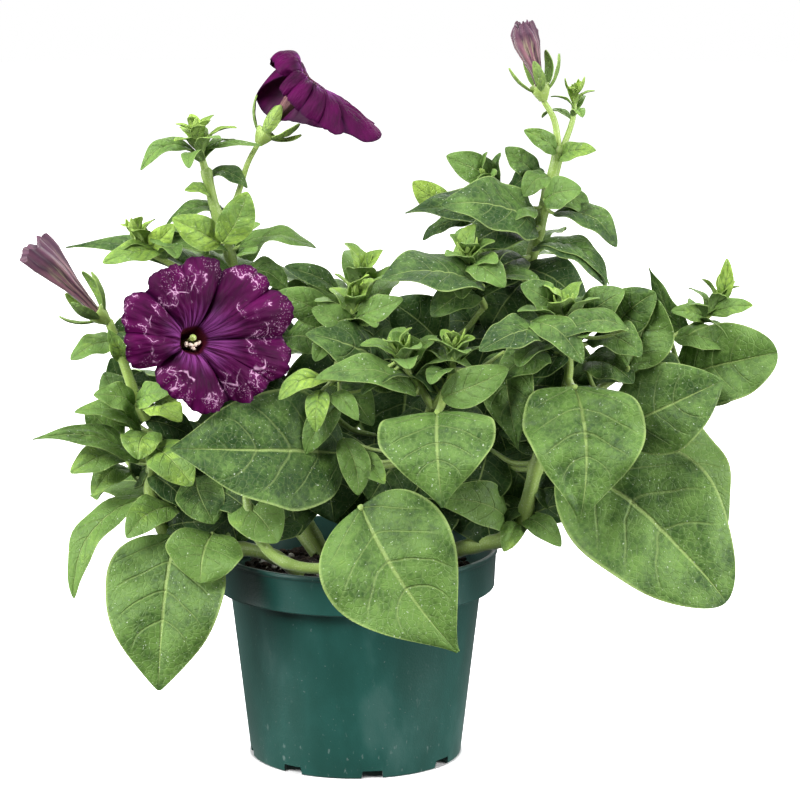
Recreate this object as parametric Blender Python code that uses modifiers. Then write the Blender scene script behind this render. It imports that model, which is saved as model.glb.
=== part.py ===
"""Petunia growing in a round nursery pot, for Blender 4.5.

Frame: metres, +Z up, origin at the middle of the pot's underside, the plant's best side facing -Y.
Tables are written in millimetres and turned into metres where they are used.
"""

import math

import bmesh
import bpy
from mathutils import Matrix, Vector
from mathutils.bvhtree import BVHTree

MM = 0.001

# ---------------------------------------------------------------- driving sizes, in millimetres
POT_HEIGHT = 85.0
RIM_RADIUS = 57.15  # a 4.5 inch pot, measured over its rim
RIM_BAND_HEIGHT = 15.0
RIM_STEP = 6.5  # how far the rim band stands proud of the wall
BASE_RADIUS = 42.5
WALL = 1.4
CENTRE_PAD_RADIUS = 30.0
CHANNEL_HEIGHT = 3.6  # the raised ring under the floor, which the drain slots open into
SLOT_COUNT = 8
SLOT_WIDTH = 9.0
SLOT_HEIGHT = 3.2
FIRST_SLOT_ANGLE = -125.5  # degrees from +X, so that one slot shows left of the front
DRAIN_RADIUS = 2.2
DRAIN_CIRCLE_RADIUS = 35.6
TURNED_STEPS = 48

SOIL_TOP = 76.0
SOIL_CROWN = 2.0
GAP = 0.3  # between pieces that touch

LEAF_THICKNESS = 0.8
PETAL_THICKNESS = 0.8
CLEARANCE = 0.5  # kept between a leaf and whatever stands beside it
GOLDEN_ANGLE = 137.5  # degrees from each leaf of a shoot to the next

STALK_END_RADIUS = 1.6
CUP_LENGTH = 6.0
CUP_RADIUS = 3.6
THROAT_RADIUS = 5.0
LOBE_NOTCH = 0.06  # in the middle of a lobe's edge, as a share of its reach
TUBE_SHARE = 0.34  # the part of the flower's sheet that is tube

GREEN = (0.16, 0.30, 0.09)
LIGHT_GREEN = (0.30, 0.46, 0.12)
STEM_GREEN = (0.33, 0.45, 0.15)
PURPLE = (0.13, 0.006, 0.12)
DUSKY_PINK = (0.32, 0.12, 0.22)
TEAL = (0.022, 0.075, 0.062)
PEAT = (0.035, 0.022, 0.014)
CREAM = (0.75, 0.72, 0.45)

# ---------------------------------------------------------------- the plant, in millimetres
# Main stems: name, radius, route from the soil to the tip.
STEMS = [
    ("stem_left", 2.8, [(-22, -12, 80), (-31, -18, 84), (-44, -28, 90), (-58, -33, 90), (-70, -34, 94),
                        (-77, -34, 103), (-80, -34, 117), (-78, -35, 130), (-78, -36, 141)]),
    ("stem_front", 2.4, [(2, -34, 80), (3, -44, 83), (0, -55, 89.5), (-10, -61, 90), (-21, -62, 91),
                         (-31, -60, 95), (-38, -57, 104), (-41, -53, 115), (-40, -50, 126)]),
    ("stem_right", 3.3, [(26, -10, 80), (34, -16, 84), (46, -27, 91), (58, -38, 96), (65, -43, 103),
                         (68, -45, 115), (71, -45, 128), (75, -45, 140), (79, -44, 149)]),
    ("stem_centre", 3.0, [(14, 2, 80), (30, 2, 92), (46, 0, 117), (57, -3, 150), (64, -6, 182),
                          (70, -9, 205), (74, -11, 222), (78, -13, 238), (80, -14, 247)]),
    ("stem_tall_left", 2.6, [(-9, 2, 80), (-20, 0, 96), (-29, -2, 120), (-37, -5, 148), (-42, -6, 174),
                             (-47, -7, 196), (-51, -9, 211), (-55, -10, 224), (-58, -11, 238)]),
    ("stem_middle", 2.4, [(8, -16, 80), (11, -22, 94), (16, -30, 112), (22, -38, 128), (27, -43, 142),
                          (31, -46, 152)]),
    ("stem_back_left", 2.7, [(-16, 22, 80), (-30, 36, 92), (-44, 50, 108), (-54, 60, 130), (-58, 64, 152),
                             (-56, 62, 172)]),
    ("stem_back_right", 2.7, [(18, 24, 80), (32, 40, 92), (46, 54, 106), (56, 64, 126), (60, 70, 148),
                              (60, 68, 166)]),
]

# Flower stalks: name, radius, route from the shoot to the calyx.
STALKS = [
    ("stalk_left_flower", 2.2, [(-81, -38, 144), (-86, -41, 158), (-90, -43, 171), (-94, -46, 183)]),
    ("stalk_front_flower", 1.6, [(-74, -36, 145), (-71.5, -33, 154), (-71.5, -34, 163), (-72.8, -38, 170.5),
                                 (-73.7, -42.4, 173.5)]),
    ("stalk_side_flower", 1.3, [(-48.6, -7.4, 218.5), (-45.5, -7, 229), (-42, -8, 240), (-38, -8, 247.5)]),
    ("stalk_top_flower", 1.4, [(79.6, -14.5, 251), (78, -14.5, 258), (74, -15, 265)]),
]

# A calyx: name, where its cup starts, the way it points, and its sepals: turn and lean in degrees, length,
# width.
CALYCES = [
    ("calyx_left_flower", (-94.3, -46.3, 183.8), (-0.75, -0.15, 0.64),
     ((20, 24, 15, 4.6), (92, 34, 14, 4.6), (164, 32, 15, 4.6), (246, 34, 17, 4.8), (310, 32, 17, 5.0))),
    ("calyx_front_flower", (-73.3, -43.3, 173.9), (0.42, -0.87, 0.22),
     ((20, 36, 14, 4.4), (92, 36, 14, 4.4), (164, 38, 14, 4.4), (236, 36, 14, 4.4), (308, 36, 14, 4.4))),
    ("calyx_side_flower", (-37.6, -8, 248.1), (0.56, 0.02, 0.83),
     ((338, 16, 14, 5.0), (265, 40, 14, 3.6), (62, 36, 14, 4.6), (118, 58, 13, 4.2), (190, 30, 13, 4.6))),
    ("calyx_top_flower", (73.7, -15.1, 265.8), (-0.22, -0.05, 0.97),
     ((20, 24, 14, 4.4), (92, 34, 14, 4.4), (164, 26, 14, 4.4), (236, 32, 15, 4.4), (308, 26, 15, 4.4))),
]

# An open flower: name, foot of its tube, axis, length of its tube, angles of its five seams, how far each half
# lobe reaches, how deep each seam cuts into the edge, how steeply each lobe rises out of the throat and how far
# it then bends back, both in radians.
FLOWERS = [
    ("flower_front", (-70.0, -50.2, 175.6), (0.42, -0.87, 0.22), 21.5, (29, 117, 177, 242, 312),
     (25, 31, 35, 42, 43.5, 39, 35, 33, 35.5, 32), (0.34, 0.12, 0.12, 0.15, 0.14),
     (1.15, 1.15, 1.15, 1.15, 1.15), (0.55, 0.30, 0.20, 0.30, 0.35)),
    ("flower_side", (-32.8, -7.6, 255.0), (0.62, -0.04, 0.78), 23.6, (-30, 16, 64, 128, 218),
     (25, 26, 28, 30, 37, 31, 35, 51, 25, 21), (0.50, 0.06, 0.14, 0.45, 0.60),
     (0.6, 0.5, 0.25, 0.0, 1.5), (1.9, 1.5, 0.05, 1.9, 1.7)),
]

# A spent or unopened flower: name, route of its middle, radius at each point.
CLOSED_FLOWERS = [
    ("closed_flower_left", [(-100.0, -47.5, 189.0), (-103, -48.6, 193), (-108, -50, 198.6),
                            (-113, -51.6, 204.4), (-117.5, -53, 209.4), (-121, -54, 213)],
     (1.7, 2.0, 3.0, 4.6, 5.8, 5.8)),
    ("closed_flower_top", [(72.0, -15.5, 273.4), (70.8, -15.8, 277), (69, -16, 282),
                           (67.2, -16, 287.6), (66, -16, 292), (65.6, -16, 295)],
     (1.7, 2.1, 3.2, 4.6, 4.8, 3.6)),
]

# A leafy shoot: name, route of its stem, its radius, longest leaf, that leaf's width, number of leaves,
# the first leaf's turn in degrees, and the length of stem that they grow from.
SHOOTS = [
    ("shoot_left_bud", [(-58.4, -11.2, 239.5), (-60, -12, 245), (-61, -12, 252)], 1.6, 22, 8, 7, 175, 10),
    ("shoot_left_tip", [(-62, -10, 196), (-74, -11, 202), (-84, -12, 208), (-86, -12, 213)],
     1.5, 20, 9, 7, 200, 16),
    ("shoot_middle_left", [(-12, -20, 150), (-4, -34, 172), (-1, -37, 182), (0, -38, 192)],
     1.7, 26, 12, 8, 20, 20),
    ("shoot_upper", [(55, -12, 176), (50, -24, 188), (46, -33, 198), (44, -37, 209)],
     1.7, 25, 12, 8, 190, 18),
    ("shoot_centre", [(30, -50, 155), (24, -57, 163), (19, -60, 170), (18, -61, 175)],
     1.7, 25, 12, 7, 60, 12),
    ("shoot_centre_right", [(34, -51, 155), (37, -57, 163), (38, -61, 171), (38, -62, 177)],
     1.7, 20, 10, 7, 300, 12),
    ("shoot_right", [(80, -45, 152), (83, -46, 164), (82, -48, 178), (81, -49, 187)],
     2.0, 30, 15, 8, 330, 18),
    ("shoot_top_left", [(70, -5, 214), (62, -4, 222), (55, -6, 230), (51, -8, 234)],
     1.6, 24, 11, 8, 100, 14),
    ("shoot_top_bud", [(82.5, -13.5, 249), (85, -12, 257), (86, -11, 264), (86, -11, 268)],
     1.3, 14, 5.5, 6, 10, 9),
    ("shoot_far_right", [(84, -36, 147), (102, -26, 158), (124, -18, 172), (140, -16, 182), (144, -15, 190)],
     1.6, 20, 8, 8, 30, 16),
    ("shoot_back_left", [(-55.5, 62, 174.5), (-54, 60, 184), (-54, 58, 194)], 1.8, 36, 18, 8, 40, 14),
    ("shoot_back_right", [(60, 67, 168.5), (58, 64, 180), (56, 60, 192)], 1.8, 36, 18, 8, 100, 14),
    ("shoot_back_middle", [(-2, 20, 80), (-2, 32, 108), (0, 42, 146), (2, 44, 174), (2, 42, 190)],
     2.2, 36, 18, 9, 0, 30),
]

# A large leaf: name, where its blade starts, its tip, width, the way its upper face looks, arch.
LEAVES = [
    ("leaf_front_hanging", (3, -64, 115), (40, -81, 62), 52, (-0.1, -1.0, 0.45), 0.10),
    ("leaf_right_heart", (85, -56, 160), (86, -77, 112), 46, (0.0, -1.0, 0.45), 0.12),
    ("leaf_right_large", (84, -38, 128), (144, -58, 76), 55, (0.2, -1.0, 0.50), 0.08),
    ("leaf_low_left", (-70, -40, 98), (-76, -56, 40), 47, (-0.25, -1.0, 0.35), 0.08),
    ("leaf_left_wide", (-4, -50, 133), (-69, -76, 140), 46, (-0.1, -1.0, 0.45), 0.12),
    ("leaf_centre_heart", (32, -66, 152), (34, -84, 119), 44, (0.0, -0.9, 0.55), 0.16),
    ("leaf_right_round", (104, -40, 141), (142, -48, 161), 35, (-0.1, -1.0, 0.35), 0.10),
    ("leaf_right_behind", (112, -14, 137), (145, -22, 89), 40, (0.35, -0.8, 0.5), 0.10),
    ("leaf_far_right", (127, -20, 158), (165, -30, 169), 32, (-0.1, -1.0, 0.35), 0.05),
    ("leaf_right_blade", (132, -10, 171), (116, -12, 199), 12, (-0.8, -0.6, 0.0), 0.05),
    ("leaf_right_upright", (106, -46, 166), (117, -43, 192), 26, (-0.2, -1.0, 0.3), -0.12),
    ("leaf_centre_large", (16, -42, 160), (-18, -58, 181), 30, (-0.2, -0.7, 0.9), 0.12),
    ("leaf_right_of_centre", (58, -46, 172), (63, -64, 137), 19, (-0.2, -1.0, 0.4), 0.14),
    ("leaf_middle_wide", (50, -36, 197), (11, -54, 202), 26, (0.0, -0.45, 1.0), 0.12),
    ("leaf_upper_wide", (71, -18, 216), (34, -38, 228), 25, (0.0, -0.8, 0.7), 0.14),
    ("leaf_upper_back", (58, 2, 214), (20, -10, 221), 22, (0.0, -0.6, 0.9), 0.14),
    ("leaf_upper_right", (74, -16, 210), (99, -32, 196), 15, (0.3, -0.5, 1.0), 0.20),
    ("leaf_left_dark", (-52, -2, 190), (-115, -18, 205), 17, (0.0, -0.5, 1.0), 0.12),
    ("leaf_left_long", (-84, -38, 128), (-124, -48, 138), 14, (0.0, -0.6, 1.0), 0.16),
    ("leaf_back_low_left", (-42, 57, 106), (-60, 106, 56), 48, (-0.4, 0.9, 0.5), 0.10),
    ("leaf_back_low_right", (44, 60, 104), (44, 112, 62), 50, (0.3, 0.9, 0.5), 0.10),
    ("leaf_back_wide_left", (-62, 67, 140), (-100, 96, 116), 46, (-0.4, 0.6, 1.0), 0.14),
    ("leaf_back_wide_right", (64, 69, 138), (108, 98, 116), 48, (0.4, 0.6, 1.0), 0.14),
    ("leaf_back_heart", (0, 48, 146), (4, 104, 108), 50, (0.0, 0.9, 0.7), 0.14),
]

# Sideways moves, in millimetres along Y, that a leaf may make to stand clear: (blade's start, tip).
SETTLING = sorted(
    ((start, tip) for start in (0, -3, 3, -6, 6, -10, 10) for tip in range(-30, 31, 3)),
    key=lambda move: (2.5 * abs(move[0]) + abs(move[1]), move),
)

# Ways that a shoot's small leaf may stand clear: (degrees turned aside, share of its length kept).
SHOOT_SETTLING = [(turn, share) for share in (1.0, 0.8, 0.62) for turn in (0, 20, -20, 40, -40, 60, -60)]


# ---------------------------------------------------------------- helpers
def clear_scene():
    for old in list(bpy.data.objects):
        bpy.data.objects.remove(old, do_unlink=True)


def collection(name):
    made = bpy.data.collections.new(name)
    bpy.context.scene.collection.children.link(made)
    return made


def paint(name, colour, roughness):
    """A plain Principled material."""
    material = bpy.data.materials.new(name)
    material.use_nodes = True
    shader = material.node_tree.nodes["Principled BSDF"]
    shader.inputs["Base Color"].default_value = (*colour, 1.0)
    shader.inputs["Roughness"].default_value = roughness
    shader.inputs["Metallic"].default_value = 0.0
    material.diffuse_color = (*colour, 1.0)
    return material


def place(obj, group, material):
    group.objects.link(obj)
    obj.data.materials.clear()
    obj.data.materials.append(material)
    return obj


def vector(millimetres):
    return Vector(millimetres) * MM


def mesh_from(work, name):
    mesh = bpy.data.meshes.new(name)
    work.to_mesh(mesh)
    work.free()
    return mesh


def evaluated_mesh(obj):
    """The mesh of an object that is in no collection yet, as its modifiers or its bevel make it."""
    scene = bpy.context.scene.collection
    scene.objects.link(obj)
    mesh = bpy.data.meshes.new_from_object(obj.evaluated_get(bpy.context.evaluated_depsgraph_get()))
    scene.objects.unlink(obj)
    return mesh


def applied(obj):
    """The object with its modifiers made into its mesh."""
    mesh = evaluated_mesh(obj)
    obj.modifiers.clear()
    obj.data = mesh
    return obj


def united(first, others):
    """first joined with the others into one body by Boolean unions. The others are removed."""
    scene = bpy.context.scene.collection
    for other in others:
        scene.objects.link(other)
        join = first.modifiers.new("join", "BOOLEAN")
        join.operation = "UNION"
        join.solver = "EXACT"
        join.object = other
        applied(first)
        bpy.data.objects.remove(other, do_unlink=True)
    return first


# ---------------------------------------------------------------- tubes
def smooth_route(points, steps):
    """Points along a smooth curve through the route's own points (Catmull-Rom)."""
    ends = [points[0] * 2 - points[1], *points, points[-1] * 2 - points[-2]]
    route = []
    for i in range(1, len(ends) - 2):
        a, b, c, d = ends[i - 1 : i + 3]
        for k in range(steps):
            t = k / steps
            bend = (2 * a - 5 * b + 4 * c - d) * t * t + (3 * b - a - 3 * c + d) * t**3
            route.append(0.5 * (2 * b + (c - a) * t + bend))
    return [*route, points[-1].copy()]


def point_before_end(route, distance):
    """The point that lies this many millimetres before a route's end, along its smooth curve."""
    points = smooth_route([vector(p) for p in route], 8)[::-1]
    left = distance * MM
    for here, there in zip(points, points[1:]):
        stretch = (there - here).length
        if left <= stretch:
            return here.lerp(there, left / stretch)
        left -= stretch
    return points[-1]


def tube(name, points, radii, steps=2, planted=False):
    """A round stem along a route, with a radius at each of the route's points, as a curve object.

    A planted one stands straight up out of the soil before its route begins.
    """
    route = smooth_route([vector(p) for p in points], steps)
    sizes = []
    for i in range(len(route)):
        low = min(i // steps, len(radii) - 2)
        share = i / steps - low
        sizes.append(radii[low] * (1 - share) + radii[low + 1] * share)
    if planted:
        foot = Vector((route[0].x, route[0].y, (SOIL_TOP + GAP) * MM))
        route, sizes = [foot, *route], [sizes[0], *sizes]
    curve = bpy.data.curves.new(name, "CURVE")
    curve.dimensions = "3D"
    curve.bevel_depth = MM
    curve.bevel_resolution = 2
    curve.use_fill_caps = True
    spline = curve.splines.new("POLY")
    spline.points.add(len(route) - 1)
    for point, at, size in zip(spline.points, route, sizes):
        point.co = (*at, 1.0)
        point.radius = size
    return bpy.data.objects.new(name, curve)


def tapered(radius, points, end_share):
    """The radii of a stem that keeps its size up to its last point, where this share of it is left."""
    return [radius] * (len(points) - 1) + [radius * end_share]


def as_mesh(curve_object):
    """The curve's tube as a closed mesh object, its caps welded. The curve is removed."""
    name = curve_object.name
    work = bmesh.new()
    work.from_mesh(evaluated_mesh(curve_object))
    bpy.data.objects.remove(curve_object, do_unlink=True)
    bmesh.ops.remove_doubles(work, verts=work.verts, dist=1e-6)
    bmesh.ops.recalc_face_normals(work, faces=work.faces)
    return bpy.data.objects.new(name, mesh_from(work, name))


# ---------------------------------------------------------------- thin sheets
def sheet(name, surface, across, along, thickness, joined=False):
    """A thin solid on a surface, a function of (u along, v across). joined welds its two long sides."""
    work = bmesh.new()
    bmesh.ops.create_grid(work, x_segments=across, y_segments=along, size=0.5)
    for vertex in work.verts:
        vertex.co = surface(vertex.co.y + 0.5, vertex.co.x + 0.5)
    if joined:
        bmesh.ops.remove_doubles(work, verts=work.verts, dist=1e-6)
    obj = bpy.data.objects.new(name, mesh_from(work, name))
    solidify = obj.modifiers.new("thickness", "SOLIDIFY")
    solidify.thickness = thickness * MM
    solidify.offset = 0.0
    return obj


def blade_outline(u):
    """Half width of a petunia leaf at u along it, as a share of the widest: ovate, with a drawn-out tip."""
    return max(math.sin(math.pi * u**0.75), 0.0) ** 0.9 + 0.05 * (1 - u) + 0.04 * u


def blade_surface(start, tip, width, face, arch, fold=0.22, cup=0.12):
    """A leaf's surface: (u along, v across from 0 to 1, lift off the surface) to a point.

    face is roughly the way its upper side looks, arch how far its middle rises as a share of its length,
    fold how far its halves rise from the midrib in radians, and cup how far its edges turn down again.
    """
    axis = tip - start
    length = axis.length
    forward = axis.normalized()
    upper = (face - forward * face.dot(forward)).normalized()
    side = forward.cross(upper)

    def point(u, v, lift=0.0):
        slope = (forward + upper * arch * 4 * (1 - 2 * u)).normalized()
        normal = side.cross(slope)
        half = width / 2 * blade_outline(u)
        reach = 2 * v - 1
        rise = half * (abs(reach) * math.sin(fold) - cup * reach * reach) + lift
        spine = start + axis * u + upper * (arch * length * 4 * u * (1 - u))
        return spine + side * (half * reach * math.cos(fold)) + normal * rise

    return point


# ---------------------------------------------------------------- keeping pieces clear of each other
class TakenSpace:
    """The space that the pieces made so far fill."""

    def __init__(self):
        self.trees = []

    def add(self, owner, tree):
        self.trees.append((owner, tree))

    def add_object(self, obj):
        self.add(obj.name, BVHTree.FromObject(obj, bpy.context.evaluated_depsgraph_get()))

    def is_clear(self, tree, owner):
        """Whether nothing but the owner's own pieces reaches into this space."""
        return not any(other != owner and tree.overlap(taken) for other, taken in self.trees)


def space_round(surface, along=8, across=4):
    """The space that a leaf needs, with its clearance, as a BVH tree of a closed box-like skin."""
    lift = (LEAF_THICKNESS / 2 + CLEARANCE) * MM
    points = [
        surface(i / along, j / across, sign * lift)
        for sign in (1, -1) for i in range(along + 1) for j in range(across + 1)
    ]
    row = across + 1
    layer = (along + 1) * row
    faces = []
    for i in range(along):
        for j in range(across):
            a = i * row + j
            faces.append((a, a + 1, a + row + 1, a + row))
            faces.append((a + layer, a + 1 + layer, a + row + 1 + layer, a + row + layer))
        for j in (0, across):
            a = i * row + j
            faces.append((a, a + row, a + row + layer, a + layer))
    return BVHTree.FromPolygons(points, faces)


# ---------------------------------------------------------------- large leaves
def settled_leaf(name, start, tip, width, face, arch, taken):
    """A large leaf, moved along Y by the least that keeps it clear of what is already there."""
    for start_move, tip_move in SETTLING:
        surface = blade_surface(
            vector(start) + Vector((0, start_move, 0)) * MM,
            vector(tip) + Vector((0, tip_move, 0)) * MM,
            width * MM, Vector(face), arch,
        )
        space = space_round(surface)
        if taken.is_clear(space, name):
            taken.add(name, space)
            return sheet(name, surface, 2, 6, LEAF_THICKNESS)
    raise RuntimeError(f"{name} finds no clear place")


# ---------------------------------------------------------------- shoots and calyces
def frame_along(direction):
    """Two directions square to a direction, the first as level as it can be."""
    level = direction.cross(Vector((0, 0, 1))).normalized()
    return level, direction.cross(level)


def turned_aside(direction, turn):
    """The way that points square to a direction, turned about it by an angle in degrees."""
    first, second = frame_along(direction)
    return first * math.cos(math.radians(turn)) + second * math.sin(math.radians(turn))


def whorl_surface(foot, direction, turn, lean, length, width, arch):
    """The surface of a small leaf that grows from foot, turned about direction and leaning away from it."""
    outward = turned_aside(direction, turn)
    heading = direction * math.cos(math.radians(lean)) + outward * math.sin(math.radians(lean))
    face = direction * math.sin(math.radians(lean)) - outward * math.cos(math.radians(lean))
    return blade_surface(foot, foot + heading * length, width, face, arch)


def shoot_stem(name, route, radius):
    starts_in_soil = route[0][2] < POT_HEIGHT
    return as_mesh(tube(name, route, tapered(radius, route, 0.6), planted=starts_in_soil))


def leafy_shoot(stem, route, leaf_length, leaf_width, leaves, first_turn, leafy_length, taken):
    """A side shoot as one grown body: its stem, and its leaves in a spiral that closes towards the tip.

    A leaf with something in its way turns aside or stays shorter, and one that finds no room is left out.
    """
    direction = (vector(route[-1]) - vector(route[-2])).normalized()
    blades = []
    for i in range(leaves):
        share = i / leaves
        foot = point_before_end(route, leafy_length * (1 - share) + 0.8)
        for turned, kept in SHOOT_SETTLING:
            surface = whorl_surface(
                foot, direction, first_turn + GOLDEN_ANGLE * i + turned, 86 - 56 * share,
                leaf_length * (1 - 0.5 * share) * kept * MM, leaf_width * (1 - 0.38 * share) * MM, 0.12,
            )
            space = space_round(surface, along=4, across=2)
            if taken.is_clear(space, stem.name):
                taken.add(stem.name, space)
                blades.append(applied(sheet(f"{stem.name}_blade", surface, 2, 3, LEAF_THICKNESS)))
                break
    return united(stem, blades)


def calyx(name, foot, direction, sepals):
    """The green cup under a flower, with five narrow sepals, as one body."""
    axis = Vector(direction).normalized()
    start = Vector(foot)
    cup = as_mesh(tube(name, [start, start + axis * CUP_LENGTH], [STALK_END_RADIUS, CUP_RADIUS]))
    blades = []
    for turn, lean, length, width in sepals:
        rim = start + axis * (CUP_LENGTH - 1.5) + turned_aside(axis, turn) * (CUP_RADIUS - 1.4)
        surface = whorl_surface(rim * MM, axis, turn, lean, length * MM, width * MM, -0.08)
        blades.append(applied(sheet(f"{name}_sepal", surface, 2, 3, LEAF_THICKNESS)))
    return united(cup, blades)


# ---------------------------------------------------------------- flowers
def limb_curve(length, rise, fall, share):
    """How far out and how high the limb is at a share of its length, bending from funnel to lobe."""
    steps = 12
    out = height = 0.0
    for i in range(steps):
        at = share * (i + 0.5) / steps
        slope = rise * (1 - at) ** 2.2 - fall * at**1.3
        out += math.cos(slope) * length * share / steps
        height += math.sin(slope) * length * share / steps
    return out, height


def round_flower(at, values):
    """A value at a place round a flower, blended between those of the whole places on either side."""
    low = math.floor(at)
    blend = (1 - math.cos(math.pi * (at - low))) / 2
    return values[low % len(values)] * (1 - blend) + values[(low + 1) % len(values)] * blend


def corolla_surface(foot, axis, length, seams, reaches, cuts, rises, falls):
    """A petunia's funnel: (u from foot to edge, v round it) to a point."""
    direction = Vector(axis).normalized()
    start = vector(foot)
    seams = [*seams, seams[0] + 360]

    def point(u, v):
        v = v % 1
        lobe = min(int(5 * v), 4)
        angle = seams[lobe] + (seams[lobe + 1] - seams[lobe]) * (5 * v - lobe)
        to_seam = abs(5 * v - round(5 * v))
        if u < TUBE_SHARE:
            share = u / TUBE_SHARE
            out = STALK_END_RADIUS + (THROAT_RADIUS - STALK_END_RADIUS) * share**1.6
            height = length * share
        else:
            edge = 1 - cuts[round(5 * v) % 5] * math.exp(-((to_seam / 0.10) ** 2))
            edge -= LOBE_NOTCH * math.exp(-(((0.5 - to_seam) / 0.06) ** 2))
            reach = round_flower(10 * v - 0.5, reaches) * edge - THROAT_RADIUS
            rise, fall = round_flower(5 * v - 0.5, rises), round_flower(5 * v - 0.5, falls)
            out, height = limb_curve(reach, rise, fall, (u - TUBE_SHARE) / (1 - TUBE_SHARE))
            out += THROAT_RADIUS
            height += length
        return start + (turned_aside(direction, angle) * out + direction * height) * MM

    return point


def corolla(name, *shape):
    """An open flower's five joined petals: a tube that opens into a wide limb."""
    return sheet(name, corolla_surface(*shape), 40, 10, PETAL_THICKNESS, joined=True)


def pistil(name, foot, axis):
    """The front flower's pistil, from its tube out to the throat."""
    direction = Vector(axis).normalized()
    start = Vector(foot)
    return tube(name, [start + direction * d for d in (1.5, 14, 25)], [0.6, 0.7, 1.7])


# ---------------------------------------------------------------- pot and soil
def turned_body(name, profile):
    """A body turned about Z from (radius, height) points, in millimetres."""
    work = bmesh.new()
    corners = [work.verts.new((r * MM, 0, z * MM)) for r, z in profile]
    for a, b in zip(corners, corners[1:]):
        work.edges.new((a, b))
    obj = bpy.data.objects.new(name, mesh_from(work, name))
    screw = obj.modifiers.new("turn", "SCREW")
    screw.steps = TURNED_STEPS
    screw.render_steps = TURNED_STEPS
    screw.use_merge_vertices = True
    screw.merge_threshold = 0.00001
    return obj


def wall_radius(height):
    """Radius of the pot's outer wall at a height."""
    top = RIM_RADIUS - RIM_STEP
    return BASE_RADIUS + (top - BASE_RADIUS) * height / (POT_HEIGHT - RIM_BAND_HEIGHT)


def pot(group, cutters):
    """The nursery pot: foot ring, raised channel, tapered wall, deep rim band, slots and drain holes."""
    band_foot = POT_HEIGHT - RIM_BAND_HEIGHT
    neck = wall_radius(band_foot)
    floor = CHANNEL_HEIGHT + WALL
    outside = [
        (0, 0), (CENTRE_PAD_RADIUS, 0), (CENTRE_PAD_RADIUS + 1, CHANNEL_HEIGHT),
        (BASE_RADIUS - 2.2, CHANNEL_HEIGHT), (BASE_RADIUS - 1.8, 0), (BASE_RADIUS - 0.6, 0),
        (BASE_RADIUS, 0.6), (neck, band_foot), (RIM_RADIUS - 2.2, band_foot - 0.6),
        (RIM_RADIUS - 1.4, band_foot), (RIM_RADIUS - 0.3, POT_HEIGHT - 1), (RIM_RADIUS, POT_HEIGHT - 0.4),
        (RIM_RADIUS - 0.6, POT_HEIGHT),
    ]
    inside = [
        (RIM_RADIUS - 1.8, POT_HEIGHT - 0.4), (RIM_RADIUS - 2.8, band_foot + 2), (neck - WALL, band_foot - 1),
        (wall_radius(floor) - WALL - 0.5, floor + 1), (wall_radius(floor) - WALL - 1.5, floor),
        (CENTRE_PAD_RADIUS, floor), (CENTRE_PAD_RADIUS - 1, WALL), (0, WALL),
    ]
    body = turned_body("pot", outside + inside)
    group.objects.link(body)
    for i in range(SLOT_COUNT):
        turn = Matrix.Rotation(math.radians(FIRST_SLOT_ANGLE + 360 / SLOT_COUNT * i), 4, "Z")
        cut(body, slot_cutter(turn), cutters)
        cut(body, drain_cutter(turn), cutters)
    return body


def slot_cutter(turn):
    """A block that opens the foot ring to the raised channel."""
    bpy.ops.mesh.primitive_cube_add(size=1.0)
    block = bpy.context.object
    block.name = "slot_cutter"
    block.data.transform(Matrix.Diagonal((8 * MM, SLOT_WIDTH * MM, 2 * SLOT_HEIGHT * MM, 1)))
    block.matrix_world = turn @ Matrix.Translation((BASE_RADIUS * MM, 0, 0))
    return block


def drain_cutter(turn):
    """A drill for the hole from the channel up into the pot."""
    bpy.ops.mesh.primitive_cylinder_add(vertices=12, radius=DRAIN_RADIUS * MM, depth=12 * MM)
    drill = bpy.context.object
    drill.name = "drain_cutter"
    drill.matrix_world = turn @ Matrix.Translation((DRAIN_CIRCLE_RADIUS * MM, 0, CHANNEL_HEIGHT * MM))
    return drill


def cut(body, cutter, cutters):
    bpy.context.scene.collection.objects.unlink(cutter)
    cutters.objects.link(cutter)
    cutter.hide_render = True
    cutter.display_type = "WIRE"
    difference = body.modifiers.new(cutter.name, "BOOLEAN")
    difference.operation = "DIFFERENCE"
    difference.solver = "EXACT"
    difference.object = cutter


def soil():
    """The potting mix, filling the pot to below its rim."""
    foot = CHANNEL_HEIGHT + WALL + GAP
    shoulder = POT_HEIGHT - RIM_BAND_HEIGHT - 1.5
    edge = wall_radius(shoulder) - WALL - GAP
    profile = [
        (0, SOIL_TOP), (30, SOIL_TOP), (44, SOIL_TOP - SOIL_CROWN / 2), (edge, SOIL_TOP - SOIL_CROWN),
        (edge, shoulder), (wall_radius(foot) - WALL - 2.2, foot + 1.5),
        (wall_radius(foot) - WALL - 3.5, foot), (0, foot),
    ]
    return turned_body("soil", profile)


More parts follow.
